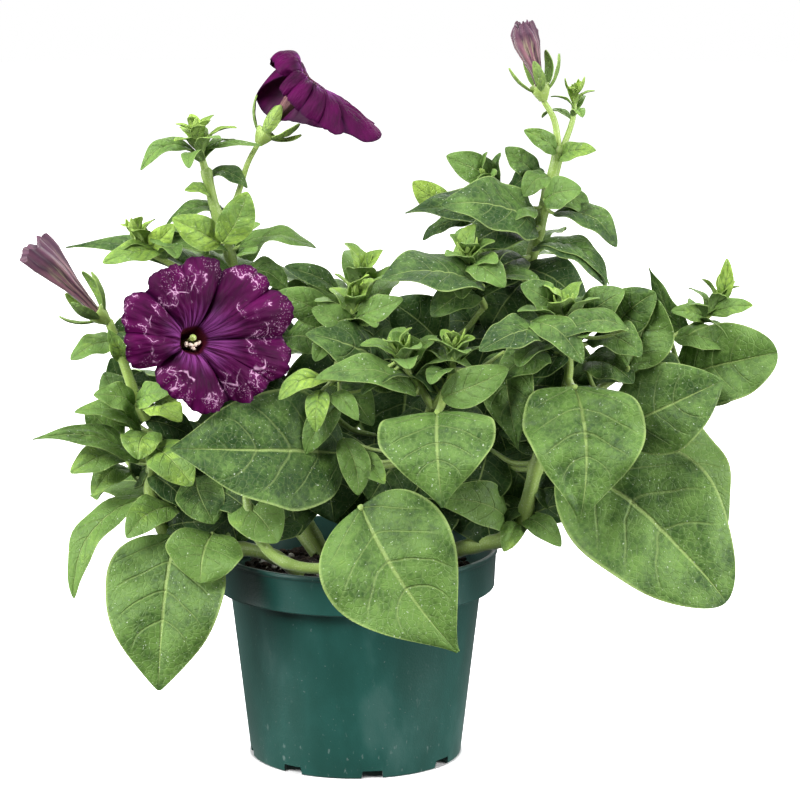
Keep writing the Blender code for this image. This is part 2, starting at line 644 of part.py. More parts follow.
# ---------------------------------------------------------------- the model
def build():
    clear_scene()
    bpy.context.view_layer.active_layer_collection = bpy.context.view_layer.layer_collection
    plant = collection("potted_petunia")
    cutters = collection("cutters")
    leaf_green = paint("leaf", GREEN, 0.6)
    young_green = paint("young_growth", LIGHT_GREEN, 0.6)
    stem_green = paint("stem", STEM_GREEN, 0.6)
    petal = paint("petal", PURPLE, 0.7)
    spent = paint("spent_petal", DUSKY_PINK, 0.75)

    body = pot(plant, cutters)
    body.data.materials.append(paint("pot_plastic", TEAL, 0.42))
    place(soil(), plant, paint("potting_mix", PEAT, 0.95))

    grown = []
    for name, radius, route in STEMS:
        grown.append(place(tube(name, route, tapered(radius, route, 0.8), planted=True), plant, stem_green))
    for name, radius, route in STALKS:
        grown.append(place(tube(name, route, tapered(radius, route, 1.0)), plant, stem_green))
    for spec in CALYCES:
        grown.append(place(calyx(*spec), plant, young_green))
    for spec in FLOWERS:
        grown.append(place(corolla(*spec), plant, petal))
    front_flower, foot, axis, *_ = FLOWERS[0]
    grown.append(place(pistil(f"pistil_{front_flower}", foot, axis), plant, paint("pistil", CREAM, 0.6)))
    for name, route, radii in CLOSED_FLOWERS:
        grown.append(place(tube(name, route, radii), plant, spent))
    for name, route, radius, *_ in SHOOTS:
        grown.append(place(shoot_stem(name, route, radius), plant, young_green))

    bpy.context.view_layer.update()
    taken = TakenSpace()
    for obj in [body, *grown]:
        taken.add_object(obj)
    for spec in LEAVES:
        place(settled_leaf(*spec, taken), plant, leaf_green)
    for name, route, _, *growth in SHOOTS:
        stem = plant.objects[name]
        plant.objects.unlink(stem)
        place(leafy_shoot(stem, route, *growth, taken), plant, young_green)

    for obj in plant.objects:
        if obj.type == "MESH":
            obj.data.shade_smooth()


build()
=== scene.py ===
"""The looks of a petunia in a nursery pot, built round its CAD model.

Frame: metres, +Z up, origin at the middle of the pot's underside, the plant's best side facing -Y.
Tables are in millimetres. Every CAD node is replaced by a finer piece in the same place.
"""

import math

import bpy
import numpy as np
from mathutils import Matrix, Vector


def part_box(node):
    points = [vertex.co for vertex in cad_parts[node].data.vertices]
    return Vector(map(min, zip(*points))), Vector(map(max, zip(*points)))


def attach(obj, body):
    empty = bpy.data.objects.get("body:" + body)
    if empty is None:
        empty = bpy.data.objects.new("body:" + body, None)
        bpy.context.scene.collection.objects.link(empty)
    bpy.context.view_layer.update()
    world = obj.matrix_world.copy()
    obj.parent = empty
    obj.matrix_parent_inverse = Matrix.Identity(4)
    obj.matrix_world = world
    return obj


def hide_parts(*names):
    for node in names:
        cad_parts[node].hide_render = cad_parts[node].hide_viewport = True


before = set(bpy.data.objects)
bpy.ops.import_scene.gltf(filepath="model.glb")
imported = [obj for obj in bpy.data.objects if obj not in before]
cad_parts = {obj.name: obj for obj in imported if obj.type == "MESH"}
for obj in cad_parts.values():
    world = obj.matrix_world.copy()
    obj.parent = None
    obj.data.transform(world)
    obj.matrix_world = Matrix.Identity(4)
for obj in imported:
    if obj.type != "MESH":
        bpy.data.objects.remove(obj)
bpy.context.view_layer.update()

MM = 0.001
FULL_TURN = 2 * np.pi
GOLDEN_ANGLE = 137.5  # degrees from each leaf of a shoot to the next
rng = np.random.default_rng(11)

# ---------------------------------------------------------------- the plant, in millimetres
# A stem or a flower stalk: name, radius, route from its foot to its tip.
STEMS = [
    ("stem_left", 2.8, [(-22, -12, 76), (-31, -18, 84), (-44, -28, 90), (-58, -33, 90), (-70, -34, 94),
                        (-77, -34, 103), (-80, -34, 117), (-78, -35, 130), (-78, -36, 141)]),
    ("stem_front", 2.4, [(2, -34, 76), (3, -44, 83), (0, -55, 89.5), (-10, -61, 90), (-21, -62, 91),
                         (-31, -60, 95), (-38, -57, 104), (-41, -53, 115), (-40, -50, 126)]),
    ("stem_right", 3.3, [(26, -10, 76), (34, -16, 84), (46, -27, 91), (58, -38, 96), (65, -43, 103),
                         (68, -45, 115), (71, -45, 128), (75, -45, 140), (79, -44, 149)]),
    ("stem_centre", 3.0, [(14, 2, 76), (30, 2, 92), (46, 0, 117), (57, -3, 150), (64, -6, 182),
                          (70, -9, 205), (74, -11, 222), (78, -13, 238), (80, -14, 247)]),
    ("stem_tall_left", 2.6, [(-9, 2, 76), (-20, 0, 96), (-29, -2, 120), (-37, -5, 148), (-42, -6, 174),
                             (-47, -7, 196), (-51, -9, 211), (-55, -10, 224), (-58, -11, 238)]),
    ("stem_middle", 2.4, [(8, -16, 76), (11, -22, 94), (16, -30, 112), (22, -38, 128), (27, -43, 142),
                          (31, -46, 152)]),
    ("stem_back_left", 2.7, [(-16, 22, 76), (-30, 36, 92), (-44, 50, 108), (-54, 60, 130), (-58, 64, 152),
                             (-56, 62, 172)]),
    ("stem_back_right", 2.7, [(18, 24, 76), (32, 40, 92), (46, 54, 106), (56, 64, 126), (60, 70, 148),
                              (60, 68, 166)]),
    ("stalk_left_flower", 2.2, [(-81, -38, 144), (-86, -41, 158), (-90, -43, 171), (-94, -46, 184)]),
    ("stalk_front_flower", 1.6, [(-74, -36, 145), (-71.5, -33, 154), (-71.5, -34, 163), (-72.8, -38, 170.5),
                                 (-73.5, -42.9, 173.8)]),
    ("stalk_side_flower", 1.3, [(-51, -8.6, 215), (-45.5, -7, 229), (-42, -8, 240), (-37.8, -8, 248)]),
    ("stalk_top_flower", 1.4, [(79.8, -14.2, 247), (78, -14.5, 258), (73.8, -15, 265.6)]),
]

# A calyx: name, where its cup starts, the way it points, and its sepals: turn, lean, length, width.
CALYCES = [
    ("calyx_left_flower", (-94.3, -46.3, 183.8), (-0.75, -0.15, 0.64),
     ((20, 10, 15, 5.0), (92, 30, 14, 4.8), (164, 26, 15, 4.6), (246, 34, 17, 5.2), (310, 30, 17, 5.4))),
    ("calyx_front_flower", (-73.3, -43.3, 173.9), (0.42, -0.87, 0.22),
     ((20, 36, 14, 4.8), (92, 30, 14, 4.8), (164, 38, 14, 4.8), (236, 34, 14, 4.8), (308, 30, 14, 4.8))),
    ("calyx_side_flower", (-37.6, -8, 248.1), (0.56, 0.02, 0.83),
     ((345, 9, 14, 5.6), (262, 36, 14, 4.0), (58, 32, 14, 5.6), (112, 54, 13, 4.6), (190, 26, 13, 5.0))),
    ("calyx_top_flower", (73.7, -15.1, 265.8), (-0.22, -0.05, 0.97),
     ((20, 16, 14, 4.4), (92, 34, 14, 4.4), (164, 22, 14, 4.4), (236, 30, 15, 4.4), (308, 20, 15, 4.4))),
]

# An open flower: name, foot of its tube, axis, length of its tube, angles of its five seams, how far each
# half lobe reaches, how deep each seam cuts into the edge, how steeply each lobe rises out of the throat and
# how far it then bends back, both in radians, and how crinkled its edge is.
FLOWERS = [
    ("flower_front", (-70.0, -50.2, 175.6), (0.42, -0.87, 0.22), 21.5, (29, 117, 177, 242, 312),
     (25, 31, 35, 42, 43.5, 39, 35, 33, 35.5, 32), (0.34, 0.12, 0.12, 0.15, 0.14),
     (1.15, 1.15, 1.15, 1.15, 1.15), (0.55, 0.30, 0.20, 0.30, 0.35), 0.6),
    ("flower_side", (-32.8, -7.6, 255.0), (0.62, -0.04, 0.78), 23.6, (-30, 16, 64, 128, 218),
     (25, 26, 28, 30, 37, 31, 35, 51, 25, 21), (0.50, 0.06, 0.14, 0.45, 0.60),
     (0.6, 0.5, 0.25, 0.0, 1.5), (1.9, 1.5, 0.05, 1.9, 1.7), 0.12),
]
THROAT_RADIUS = 5.0
STALK_END_RADIUS = 1.6
TUBE_SHARE = 0.34  # of the way from an open flower's foot to its edge

# A spent or unopened flower: name, route of its middle, radius at each point.
CLOSED_FLOWERS = [
    ("closed_flower_left", [(-99.0, -47.3, 188.0), (-103, -48.6, 193.0), (-108, -50, 198.6),
                            (-113, -51.6, 204.4), (-117.5, -53, 209.4), (-121.5, -54, 213.6)],
     (1.9, 2.2, 3.2, 4.9, 6.2, 6.2)),
    ("closed_flower_top", [(72.2, -15.5, 272.0), (70.8, -15.8, 277), (69, -16, 282),
                           (67.2, -16, 287.6), (66, -16, 292), (65.6, -16, 295)],
     (1.9, 2.3, 3.4, 4.8, 4.8, 3.4)),
]

# A leafy shoot: name, route of its stem, its radius, longest leaf, that leaf's width, number of leaves,
# the first leaf's turn in degrees, the length of stem that they grow from, and how young its tip looks.
SHOOTS = [
    ("shoot_left_bud", [(-58, -11, 237), (-60, -12, 245), (-61, -12, 252)],
     1.6, 21, 7.5, 14, 175, 11, 1.1),
    ("shoot_left_tip", [(-58, -10, 194), (-74, -11, 202), (-84, -12, 208), (-86, -12, 213)],
     1.5, 20, 9, 9, 200, 16, 1.0),
    ("shoot_middle_left", [(-12, -20, 146), (-4, -34, 172), (-1, -37, 182), (0, -38, 192)],
     1.7, 26, 12, 12, 20, 22, 0.9),
    ("shoot_upper", [(57, -9, 172), (50, -24, 188), (46, -33, 198), (44, -37, 209)],
     1.7, 25, 12, 12, 190, 20, 0.85),
    ("shoot_centre", [(30, -47, 151), (24, -57, 163), (19, -60, 170), (18, -61, 175)],
     1.7, 25, 12, 10, 60, 14, 0.8),
    ("shoot_centre_right", [(31, -47, 151), (37, -57, 163), (38, -61, 171), (38, -62, 177)],
     1.7, 20, 10, 10, 300, 14, 0.8),
    ("shoot_right", [(79, -44, 148), (83, -46, 164), (82, -48, 178), (81, -49, 189)],
     2.0, 30, 15, 12, 330, 22, 0.8),
    ("shoot_top_left", [(74, -9, 212), (62, -4, 222), (55, -6, 230), (51, -8, 234)],
     1.6, 24, 11, 11, 100, 16, 0.6),
    ("shoot_top_bud", [(81, -14, 246), (85, -12, 257), (86, -11, 264), (86, -11, 268)],
     1.3, 14, 5.5, 8, 10, 10, 1.1),
    ("shoot_far_right", [(79, -42, 146), (102, -26, 158), (124, -18, 172), (140, -16, 182), (144, -15, 190)],
     1.6, 20, 8, 10, 30, 18, 0.95),
    ("shoot_back_left", [(-56, 62, 170), (-54, 60, 184), (-54, 58, 194)], 1.8, 36, 18, 12, 40, 20, 0.75),
    ("shoot_back_right", [(60, 68, 164), (58, 64, 180), (56, 60, 192)], 1.8, 36, 18, 12, 100, 20, 0.75),
    ("shoot_back_middle", [(-2, 20, 76), (-2, 32, 108), (0, 42, 146), (2, 44, 174), (2, 42, 190)],
     2.2, 36, 18, 14, 0, 44, 0.75),
]

# A large leaf: name, where its blade starts, its tip, width, the way its upper face looks, arch, and how
# light its green is. The CAD node gives how far back it lies.
LEAVES = [
    ("leaf_front_hanging", (3, 115), (40, 62), 53, (-0.1, -1.0, 0.45), 0.10, 0.34),
    ("leaf_right_heart", (85, 160), (86, 112), 46, (0.0, -1.0, 0.45), 0.12, 0.34),
    ("leaf_right_large", (84, 128), (144, 76), 57, (0.2, -1.0, 0.50), 0.08, 0.29),
    ("leaf_low_left", (-70, 98), (-76, 40), 48, (-0.25, -1.0, 0.35), 0.08, 0.31),
    ("leaf_left_wide", (-4, 133), (-69, 140), 47, (-0.1, -1.0, 0.45), 0.12, 0.16),
    ("leaf_centre_heart", (32, 152), (34, 119), 44, (0.0, -0.9, 0.55), 0.16, 0.28),
    ("leaf_right_round", (104, 141), (142, 161), 35, (-0.1, -1.0, 0.35), 0.10, 0.26),
    ("leaf_right_behind", (112, 137), (145, 89), 42, (0.35, -0.8, 0.5), 0.10, 0.46),
    ("leaf_far_right", (127, 158), (165, 169), 33, (-0.1, -1.0, 0.35), 0.05, 0.32),
    ("leaf_right_blade", (132, 171), (116, 199), 13, (-0.8, -0.6, 0.0), 0.05, 0.12),
    ("leaf_right_upright", (106, 166), (117, 192), 26, (-0.2, -1.0, 0.3), -0.12, 0.30),
    ("leaf_centre_large", (16, 160), (-18, 181), 30, (-0.2, -0.7, 0.9), 0.12, 0.20),
    ("leaf_right_of_centre", (58, 172), (63, 137), 21, (-0.2, -1.0, 0.4), 0.14, 0.24),
    ("leaf_middle_wide", (50, 197), (11, 202), 27, (0.0, -0.45, 1.0), 0.12, 0.16),
    ("leaf_upper_wide", (71, 216), (34, 228), 25, (0.0, -0.8, 0.7), 0.14, 0.20),
    ("leaf_upper_back", (58, 214), (20, 221), 22, (0.0, -0.6, 0.9), 0.14, 0.14),
    ("leaf_upper_right", (74, 210), (99, 196), 15, (0.3, -0.5, 1.0), 0.20, 0.22),
    ("leaf_left_dark", (-52, 190), (-115, 205), 17, (0.0, -0.5, 1.0), 0.12, 0.16),
    ("leaf_left_long", (-84, 128), (-124, 138), 14, (0.0, -0.6, 1.0), 0.16, 0.32),
    ("leaf_back_low_left", (-42, 106), (-60, 56), 48, (-0.4, 0.9, 0.5), 0.10, 0.34),
    ("leaf_back_low_right", (44, 104), (44, 62), 50, (0.3, 0.9, 0.5), 0.10, 0.40),
    ("leaf_back_wide_left", (-62, 140), (-100, 116), 46, (-0.4, 0.6, 1.0), 0.14, 0.30),
    ("leaf_back_wide_right", (64, 138), (108, 116), 48, (0.4, 0.6, 1.0), 0.14, 0.34),
    ("leaf_back_heart", (0, 146), (4, 108), 50, (0.0, 0.9, 0.7), 0.14, 0.28),
]

# What sets some of the large leaves apart, as arguments of blade().
LEAF_SHAPES = {
    "leaf_front_hanging": {"bend": 0.05, "point": 1.2, "twist": 0.0, "pucker": 1.1},
    "leaf_right_heart": {"point": 1.2, "base": 0.62, "pucker": 2.8, "ruffle": 0.14, "twist": 0.1,
                         "bend": -0.06},
    "leaf_right_large": {"point": 0.62, "base": 0.80, "bend": -0.02, "pucker": 1.8},
    "leaf_right_behind": {"point": 0.9, "base": 0.75},
    "leaf_low_left": {"point": 0.9, "bend": 0.0, "twist": 0.05, "base": 0.66},
    "leaf_left_wide": {"point": 1.0, "base": 0.74, "pucker": 1.5, "twist": -0.15},
    "leaf_centre_heart": {"point": 1.2, "base": 0.56, "pucker": 1.0},
    "leaf_far_right": {"point": 0.5, "base": 0.9, "fold": 0.40, "pucker": 1.8, "ruffle": 0.12},
    "leaf_right_round": {"point": 0.8, "base": 0.8, "pucker": 1.4},
    "leaf_right_upright": {"point": 0.7, "base": 0.9},
    "leaf_centre_large": {"point": 0.9, "base": 0.8, "pucker": 1.6, "fold": 0.1},
    "leaf_middle_wide": {"point": 0.8, "base": 0.9, "ruffle": 0.12},
    "leaf_upper_wide": {"point": 0.8, "base": 0.8, "ruffle": 0.14, "pucker": 1.5},
}

# Smaller leaves between them, by the part of the plant that they grow on: where the blade starts, its tip,
# width, the way its upper face looks, arch, and how light its green is.
# How light its green is: partly the leaf's own colour, partly painted shade, darker for leaves deep in the
# plant.
SMALL_LEAVES = {
    "leaves_low_left": [
        ((-55, -45, 100), (-59, -60, 84), 30, (0, -1, 0.4), 0.14, 0.43),
        ((-81, -28, 111), (-110, -40, 73), 15, (-0.6, -0.8, 0.6), 0.22, 0.49),
        ((-62, -40, 121), (-54, -54, 106), 19, (0.1, -1, 0.3), 0.12, 0.29),
        ((-45, -48, 114), (-29, -64, 101), 21, (0.2, -1, 0.5), 0.12, 0.47),
        ((-83, -36, 139), (-108, -44, 148), 11, (0, -0.7, 0.9), 0.22, 0.53),
        ((-94, -14, 127), (-106, -18, 144), 16, (0.5, -0.9, 0.2), 0.08, 0.33),
        ((-80, -40, 139), (-83, -52, 131), 16, (-0.2, -1, 0.4), 0.2, 0.61),
        ((-90, -30, 128), (-110, -44, 124), 14, (-0.2, -0.8, 0.9), 0.2, 0.55),
        ((-88, -26, 121), (-102, -40, 114), 13, (-0.3, -0.9, 0.7), 0.2, 0.49),
        ((-78, -44, 150), (-66, -58, 147), 14, (0.2, -0.8, 0.9), 0.2, 0.74),
        ((-78, -42, 134), (-62, -58, 122), 17, (0.2, -1, 0.5), 0.16, 0.57),
        ((-72, -28, 118), (-58, -26, 138), 16, (0.3, -1, 0.1), 0.1, 0.39),
        ((-70, -34, 108), (-88, -52, 100), 15, (-0.3, -1, 0.6), 0.16, 0.55),
        ((-84, -30, 140), (-98, -24, 160), 16, (0.4, -0.9, 0.2), 0.1, 0.29),
    ],
    "leaves_left": [
        ((-91, -34, 173), (-109, -46, 169), 12, (-0.3, -0.8, 0.8), 0.2, 0.50),
        ((-88, -40, 166), (-94, -48, 181), 7, (-0.2, -1, 0.2), 0.1, 0.70),
        ((-84, -42, 152), (-70, -52, 158), 11, (0.1, -0.9, 0.6), 0.16, 0.56),
        ((-85, -42, 150), (-100, -50, 156), 12, (-0.2, -0.9, 0.6), 0.2, 0.48),
        ((-90, -12, 137), (-96, -14, 164), 14, (0.3, -1, 0.1), 0.1, 0.12),
        ((-48, -4, 207), (-80, -16, 211), 16, (0, -0.7, 0.9), 0.14, 0.30),
        ((-45, -10, 208), (-15, -16, 208), 12, (0, -0.6, 1), 0.24, 0.36),
        ((-52, -24, 211), (-70, -32, 222), 13, (-0.1, -1, 0.3), 0.1, 0.76),
        ((-51, -28, 212), (-41, -30, 232), 14, (0.1, -1, 0.1), 0.06, 0.74),
        ((-57, -6, 236), (-42, -10, 231), 9, (0.2, -0.7, 0.9), 0.24, 0.20),
        ((-62, -10, 245), (-83, -18, 239), 9, (0, -0.6, 1), 0.3, 0.44),
        ((-59, -10, 246), (-36, -14, 248), 5, (0, -0.5, 1), 0.1, 0.50),
        ((-49, -12, 199), (-70, -22, 190), 20, (-0.2, -0.8, 0.8), 0.2, 0.26),
        ((-46, -8, 196), (-26, -16, 192), 14, (0.2, -0.8, 0.8), 0.2, 0.30),
        ((-44, -6, 186), (-60, -14, 176), 20, (-0.2, -0.9, 0.6), 0.18, 0.18),
        ((-52, -4, 222), (-74, -8, 216), 10, (-0.1, -0.6, 1), 0.2, 0.30),
        ((-57, -10, 228), (-66, -18, 231), 8, (-0.1, -0.8, 0.8), 0.2, 0.70),
        ((-76, -10, 206), (-98, -22, 203), 11, (0, -0.7, 0.9), 0.16, 0.62),
        ((-80, -12, 208), (-70, -20, 218), 9, (0.2, -1, 0.3), 0.1, 0.80),
        ((-30, -12, 178), (-46, -24, 170), 18, (-0.2, -0.8, 0.7), 0.16, 0.24),
        ((-28, -12, 172), (-8, -22, 170), 16, (0.2, -0.8, 0.8), 0.16, 0.28),
    ],
    "leaves_middle": [
        ((62, -40, 102), (32, -56, 116), 18, (-0.2, -0.9, 0.6), 0.14, 0.37),
        ((117, -10, 136), (145, -18, 92), 30, (0.3, -0.9, 0.4), 0.1, 0.39),
        ((105, -52, 182), (77, -66, 181), 14, (0, -0.7, 0.9), 0.16, 0.27),
        ((72, -52, 182), (48, -72, 177), 17, (-0.2, -0.8, 0.8), 0.16, 0.21),
        ((68, -54, 185), (87, -70, 172), 13, (0.2, -0.9, 0.7), 0.2, 0.31),
        ((34, -28, 172), (14, -34, 190), 23, (-0.1, -1, 0.2), 0.1, 0.06),
        ((49, 4, 216), (27, 6, 208), 9, (-0.1, -0.6, 1), 0.16, 0.13),
        ((24, -58, 158), (-14, -70, 166), 14, (-0.1, -0.8, 0.8), 0.16, 0.37),
        ((31, -52, 160), (15, -58, 182), 12, (0.1, -1, 0.1), 0.1, 0.41),
        ((34, -60, 157), (59, -66, 169), 15, (0.1, -0.9, 0.5), 0.14, 0.43),
        ((-1, -40, 180), (-16, -48, 189), 12, (-0.2, -0.9, 0.6), 0.14, 0.51),
        ((1, -40, 184), (19, -48, 193), 11, (0.2, -0.9, 0.6), 0.14, 0.53),
        ((-6, -18, 191), (-27, -24, 202), 10, (0, -0.7, 0.8), 0.14, 0.09),
        ((-8, -32, 181), (-30, -40, 194), 14, (-0.1, -0.9, 0.5), 0.14, 0.35),
        ((-10, -62, 164), (-28, -70, 158), 9, (-0.1, -0.8, 0.9), 0.2, 0.72),
        ((-12, -62, 160), (-14, -72, 146), 9, (0, -1, 0.4), 0.2, 0.57),
        ((-8, -60, 158), (2, -70, 150), 8, (0.1, -1, 0.4), 0.2, 0.51),
        ((-6, -58, 154), (-18, -64, 136), 11, (-0.1, -1, 0.3), 0.14, 0.31),
        ((-4, -56, 140), (2, -66, 120), 12, (0.2, -1, 0.3), 0.1, 0.45),
        ((0, -54, 134), (12, -64, 124), 10, (0.3, -1, 0.4), 0.12, 0.47),
        ((66, -44, 106), (80, -58, 98), 10, (0.2, -1, 0.5), 0.14, 0.49),
        ((64, -44, 104), (58, -58, 96), 9, (-0.1, -1, 0.4), 0.14, 0.53),
        ((52, -34, 132), (44, -44, 110), 24, (0, -1, 0.3), 0.1, 0.06),
        ((56, -32, 128), (76, -36, 108), 26, (0.1, -1, 0.3), 0.1, 0.06),
        ((20, -34, 130), (6, -40, 112), 26, (-0.1, -1, 0.3), 0.1, 0.06),
        ((-28, -28, 126), (-36, -36, 104), 26, (-0.1, -1, 0.3), 0.1, 0.06),
        ((60, -20, 158), (48, -30, 138), 24, (0, -1, 0.4), 0.1, 0.06),
        ((96, -26, 152), (104, -34, 126), 28, (0.1, -1, 0.4), 0.12, 0.07),
        ((14, -30, 176), (-4, -40, 164), 20, (-0.2, -0.8, 0.8), 0.14, 0.13),
        ((90, -34, 166), (108, -46, 160), 18, (0.2, -0.8, 0.7), 0.16, 0.21),
        ((88, -40, 184), (104, -46, 196), 15, (0.1, -0.9, 0.6), 0.1, 0.31),
        ((78, -44, 190), (64, -52, 199), 13, (-0.1, -0.9, 0.6), 0.12, 0.33),
        ((92, -40, 176), (110, -56, 172), 18, (0.2, -0.8, 0.8), 0.18, 0.27),
        ((74, -46, 172), (56, -62, 164), 17, (-0.2, -0.9, 0.6), 0.18, 0.23),
    ],
    "leaves_upper": [
        ((78, -18, 222), (102, -26, 210), 14, (0.2, -0.6, 1), 0.26, 0.23),
        ((70, -18, 208), (98, -30, 195), 15, (0.2, -0.6, 1), 0.26, 0.19),
        ((56, -4, 234), (36, -14, 244), 13, (-0.2, -0.9, 0.5), 0.1, 0.45),
        ((38, 8, 221), (23, 8, 231), 11, (0, -1, 0.2), 0.1, 0.84),
        ((72, -10, 236), (59, -12, 247), 10, (-0.1, -0.9, 0.5), 0.1, 0.27),
        ((74, -22, 228), (88, -30, 233), 13, (0.1, -0.9, 0.5), 0.14, 0.49),
        ((68, -16, 214), (44, -28, 210), 20, (-0.1, -0.7, 0.9), 0.16, 0.13),
        ((66, -14, 204), (44, -32, 190), 20, (-0.2, -0.8, 0.8), 0.16, 0.11),
        ((66, -12, 200), (90, -22, 186), 20, (0.2, -0.8, 0.8), 0.16, 0.09),
        ((70, -16, 224), (54, -28, 220), 15, (-0.1, -0.8, 0.8), 0.18, 0.29),
        ((66, -12, 194), (52, -24, 176), 22, (-0.2, -1, 0.5), 0.14, 0.07),
        ((62, -8, 184), (78, -20, 170), 20, (0.2, -1, 0.5), 0.14, 0.09),
        ((76, -14, 230), (92, -20, 222), 12, (0.2, -0.8, 0.8), 0.2, 0.33),
        ((76, -14, 236), (66, -20, 229), 10, (-0.2, -0.9, 0.6), 0.2, 0.39),
        ((44, -36, 204), (58, -50, 198), 13, (0.2, -0.8, 0.8), 0.18, 0.37),
        ((48, -32, 192), (30, -46, 186), 16, (-0.2, -0.8, 0.8), 0.18, 0.23),
        ((79, -15, 246), (66, -22, 255), 8, (-0.2, -0.9, 0.5), 0.14, 0.53),
        ((80, -14, 243), (94, -20, 247), 8, (0.1, -0.9, 0.6), 0.2, 0.59),
    ],
    "leaves_far_right": [
        ((136, -6, 147), (158, -10, 157), 18, (0.1, -0.9, 0.4), 0.1, 0.09),
        ((100, -36, 179), (116, -44, 195), 18, (-0.1, -1, 0.3), 0.06, 0.21),
        ((83, -16, 183), (71, -4, 195), 20, (-0.1, -1, 0.3), 0.1, 0.11),
        ((126, -18, 173), (146, -26, 170), 12, (0.1, -0.8, 0.8), 0.2, 0.35),
        ((120, -18, 170), (108, -28, 180), 13, (-0.2, -1, 0.4), 0.12, 0.19),
        ((140, -16, 182), (156, -20, 186), 8, (0, -0.8, 0.8), 0.2, 0.61),
        ((138, -16, 180), (124, -22, 184), 8, (-0.1, -0.9, 0.6), 0.2, 0.55),
        ((144, -15, 186), (146, -16, 204), 6, (-0.3, -1, 0.1), 0.06, 0.72),
        ((114, -20, 165), (126, -32, 152), 20, (0.1, -1, 0.5), 0.12, 0.15),
    ],
    "leaves_back": [
        ((-44, 50, 120), (-20, 76, 132), 30, (0.2, 0.9, 0.8), 0.14, 0.30),
        ((-56, 62, 152), (-84, 72, 166), 28, (-0.3, 0.8, 0.8), 0.14, 0.26),
        ((-54, 60, 140), (-36, 88, 150), 30, (0.2, 0.9, 0.8), 0.14, 0.34),
        ((52, 62, 126), (26, 84, 132), 30, (-0.2, 0.9, 0.8), 0.14, 0.28),
        ((60, 68, 152), (88, 78, 162), 30, (0.3, 0.8, 0.8), 0.14, 0.32),
        ((58, 66, 140), (34, 92, 150), 28, (-0.2, 0.9, 0.8), 0.14, 0.24),
        ((2, 44, 168), (-26, 62, 176), 26, (-0.2, 0.8, 0.9), 0.14, 0.30),
        ((2, 44, 160), (30, 64, 166), 26, (0.2, 0.8, 0.9), 0.14, 0.28),
        ((0, 40, 140), (-24, 62, 132), 28, (-0.3, 0.9, 0.6), 0.14, 0.22),
        ((-1, 38, 134), (26, 60, 126), 28, (0.3, 0.9, 0.6), 0.14, 0.26),
        ((-36, 6, 160), (-62, 30, 168), 26, (-0.5, 0.6, 0.9), 0.14, 0.24),
        ((-30, 4, 134), (-64, 26, 128), 30, (-0.7, 0.4, 0.8), 0.14, 0.28),
        ((62, 2, 170), (86, 24, 178), 26, (0.5, 0.6, 0.9), 0.14, 0.24),
        ((56, 4, 150), (92, 22, 142), 32, (0.7, 0.4, 0.8), 0.14, 0.30),
        ((68, 0, 200), (84, 20, 210), 20, (0.4, 0.7, 0.8), 0.14, 0.30),
        ((-46, -2, 192), (-58, 20, 200), 20, (-0.3, 0.8, 0.8), 0.14, 0.28),
        ((-76, -22, 112), (-104, 6, 104), 26, (-0.8, 0.3, 0.7), 0.14, 0.32),
        ((92, -18, 128), (124, 10, 120), 30, (0.8, 0.3, 0.7), 0.14, 0.30),
        ((60, 0, 190), (40, 22, 196), 20, (-0.2, 0.8, 0.8), 0.14, 0.22),
        ((-40, 0, 180), (-18, 20, 186), 18, (0.2, 0.8, 0.8), 0.14, 0.26),
    ],
}

# Large leaves in the shade between the stems, darkened with painted shade: where the blade starts, its tip.
SHADED_LEAVES = [
    ((-4, 4, 164), (-22, -4, 124)), ((22, 2, 160), (18, -8, 114)), ((48, -2, 166), (62, -10, 120)),
    ((68, -8, 172), (88, -14, 130)), ((-34, 0, 156), (-42, -10, 112)), ((42, 0, 136), (34, -12, 96)),
    ((-16, 0, 136), (-6, -10, 96)), ((60, -6, 196), (48, -12, 158)), ((84, -22, 150), (98, -28, 112)),
    ((-74, -24, 140), (-64, -26, 106)), ((36, 2, 184), (20, -6, 150)), ((-48, -2, 176), (-56, -12, 140)),
    ((-14, -24, 136), (-8, -32, 102)), ((-28, -20, 128), (-22, -30, 96)), ((22, -26, 112), (24, -38, 90)),
    ((50, -20, 118), (54, -34, 92)), ((-54, -20, 116), (-46, -26, 90)), ((8, -10, 132), (2, -20, 98)),
]

STEM, HAIR = 2, 3  # material indices after a leaf's upper and under sides
HAIR_RADIUS = 0.05
JOINT_SPACING = 17  # between the swellings of a stem, where leaves leave it
LARGE_LEAF_THICKNESS = 0.55
LEAF_THICKNESS = 0.45
PETAL_THICKNESS = 0.4
# The shaded leaves close to the stems start between these heights and no further back than this, and those
# whose tips would leave the middle of the plant are left out.
INNER_LOW, INNER_HIGH, INNER_BACK = 98, 186, 30
INNER_TIPS = {"left": -84, "right": 104, "front": -44, "back": 40, "low": 88}


# ---------------------------------------------------------------- shader boards
class Wire:
    """A value on its way through a material. Arithmetic on it adds Math nodes."""

    def __init__(self, board, socket):
        self.board = board
        self.socket = socket

    def math(self, operation, *others):
        """This value and any others through one Math node."""
        values = dict(enumerate((self, *others)))
        return self.board.node("Math", {"operation": operation}, values)

    def __add__(self, other):
        return self.math("ADD", other)

    __radd__ = __add__

    def __mul__(self, other):
        return self.math("MULTIPLY", other)

    __rmul__ = __mul__

    def __sub__(self, other):
        return self.math("SUBTRACT", other)

    def __rsub__(self, other):
        return self * -1 + other

    def __pow__(self, other):
        return self.math("POWER", other)

    def __abs__(self):
        return self.math("ABSOLUTE")

    def folded(self, pitch):
        """The distance to the nearest whole number, for a pitch of 0.5."""
        return self.math("PINGPONG", pitch)

    def between(self, low, high):
        """0 below low and 1 above high, with a smooth step between them."""
        sockets = {"Value": self, "From Min": low, "From Max": high}
        return self.board.node("MapRange", {"interpolation_type": "SMOOTHSTEP"}, sockets)


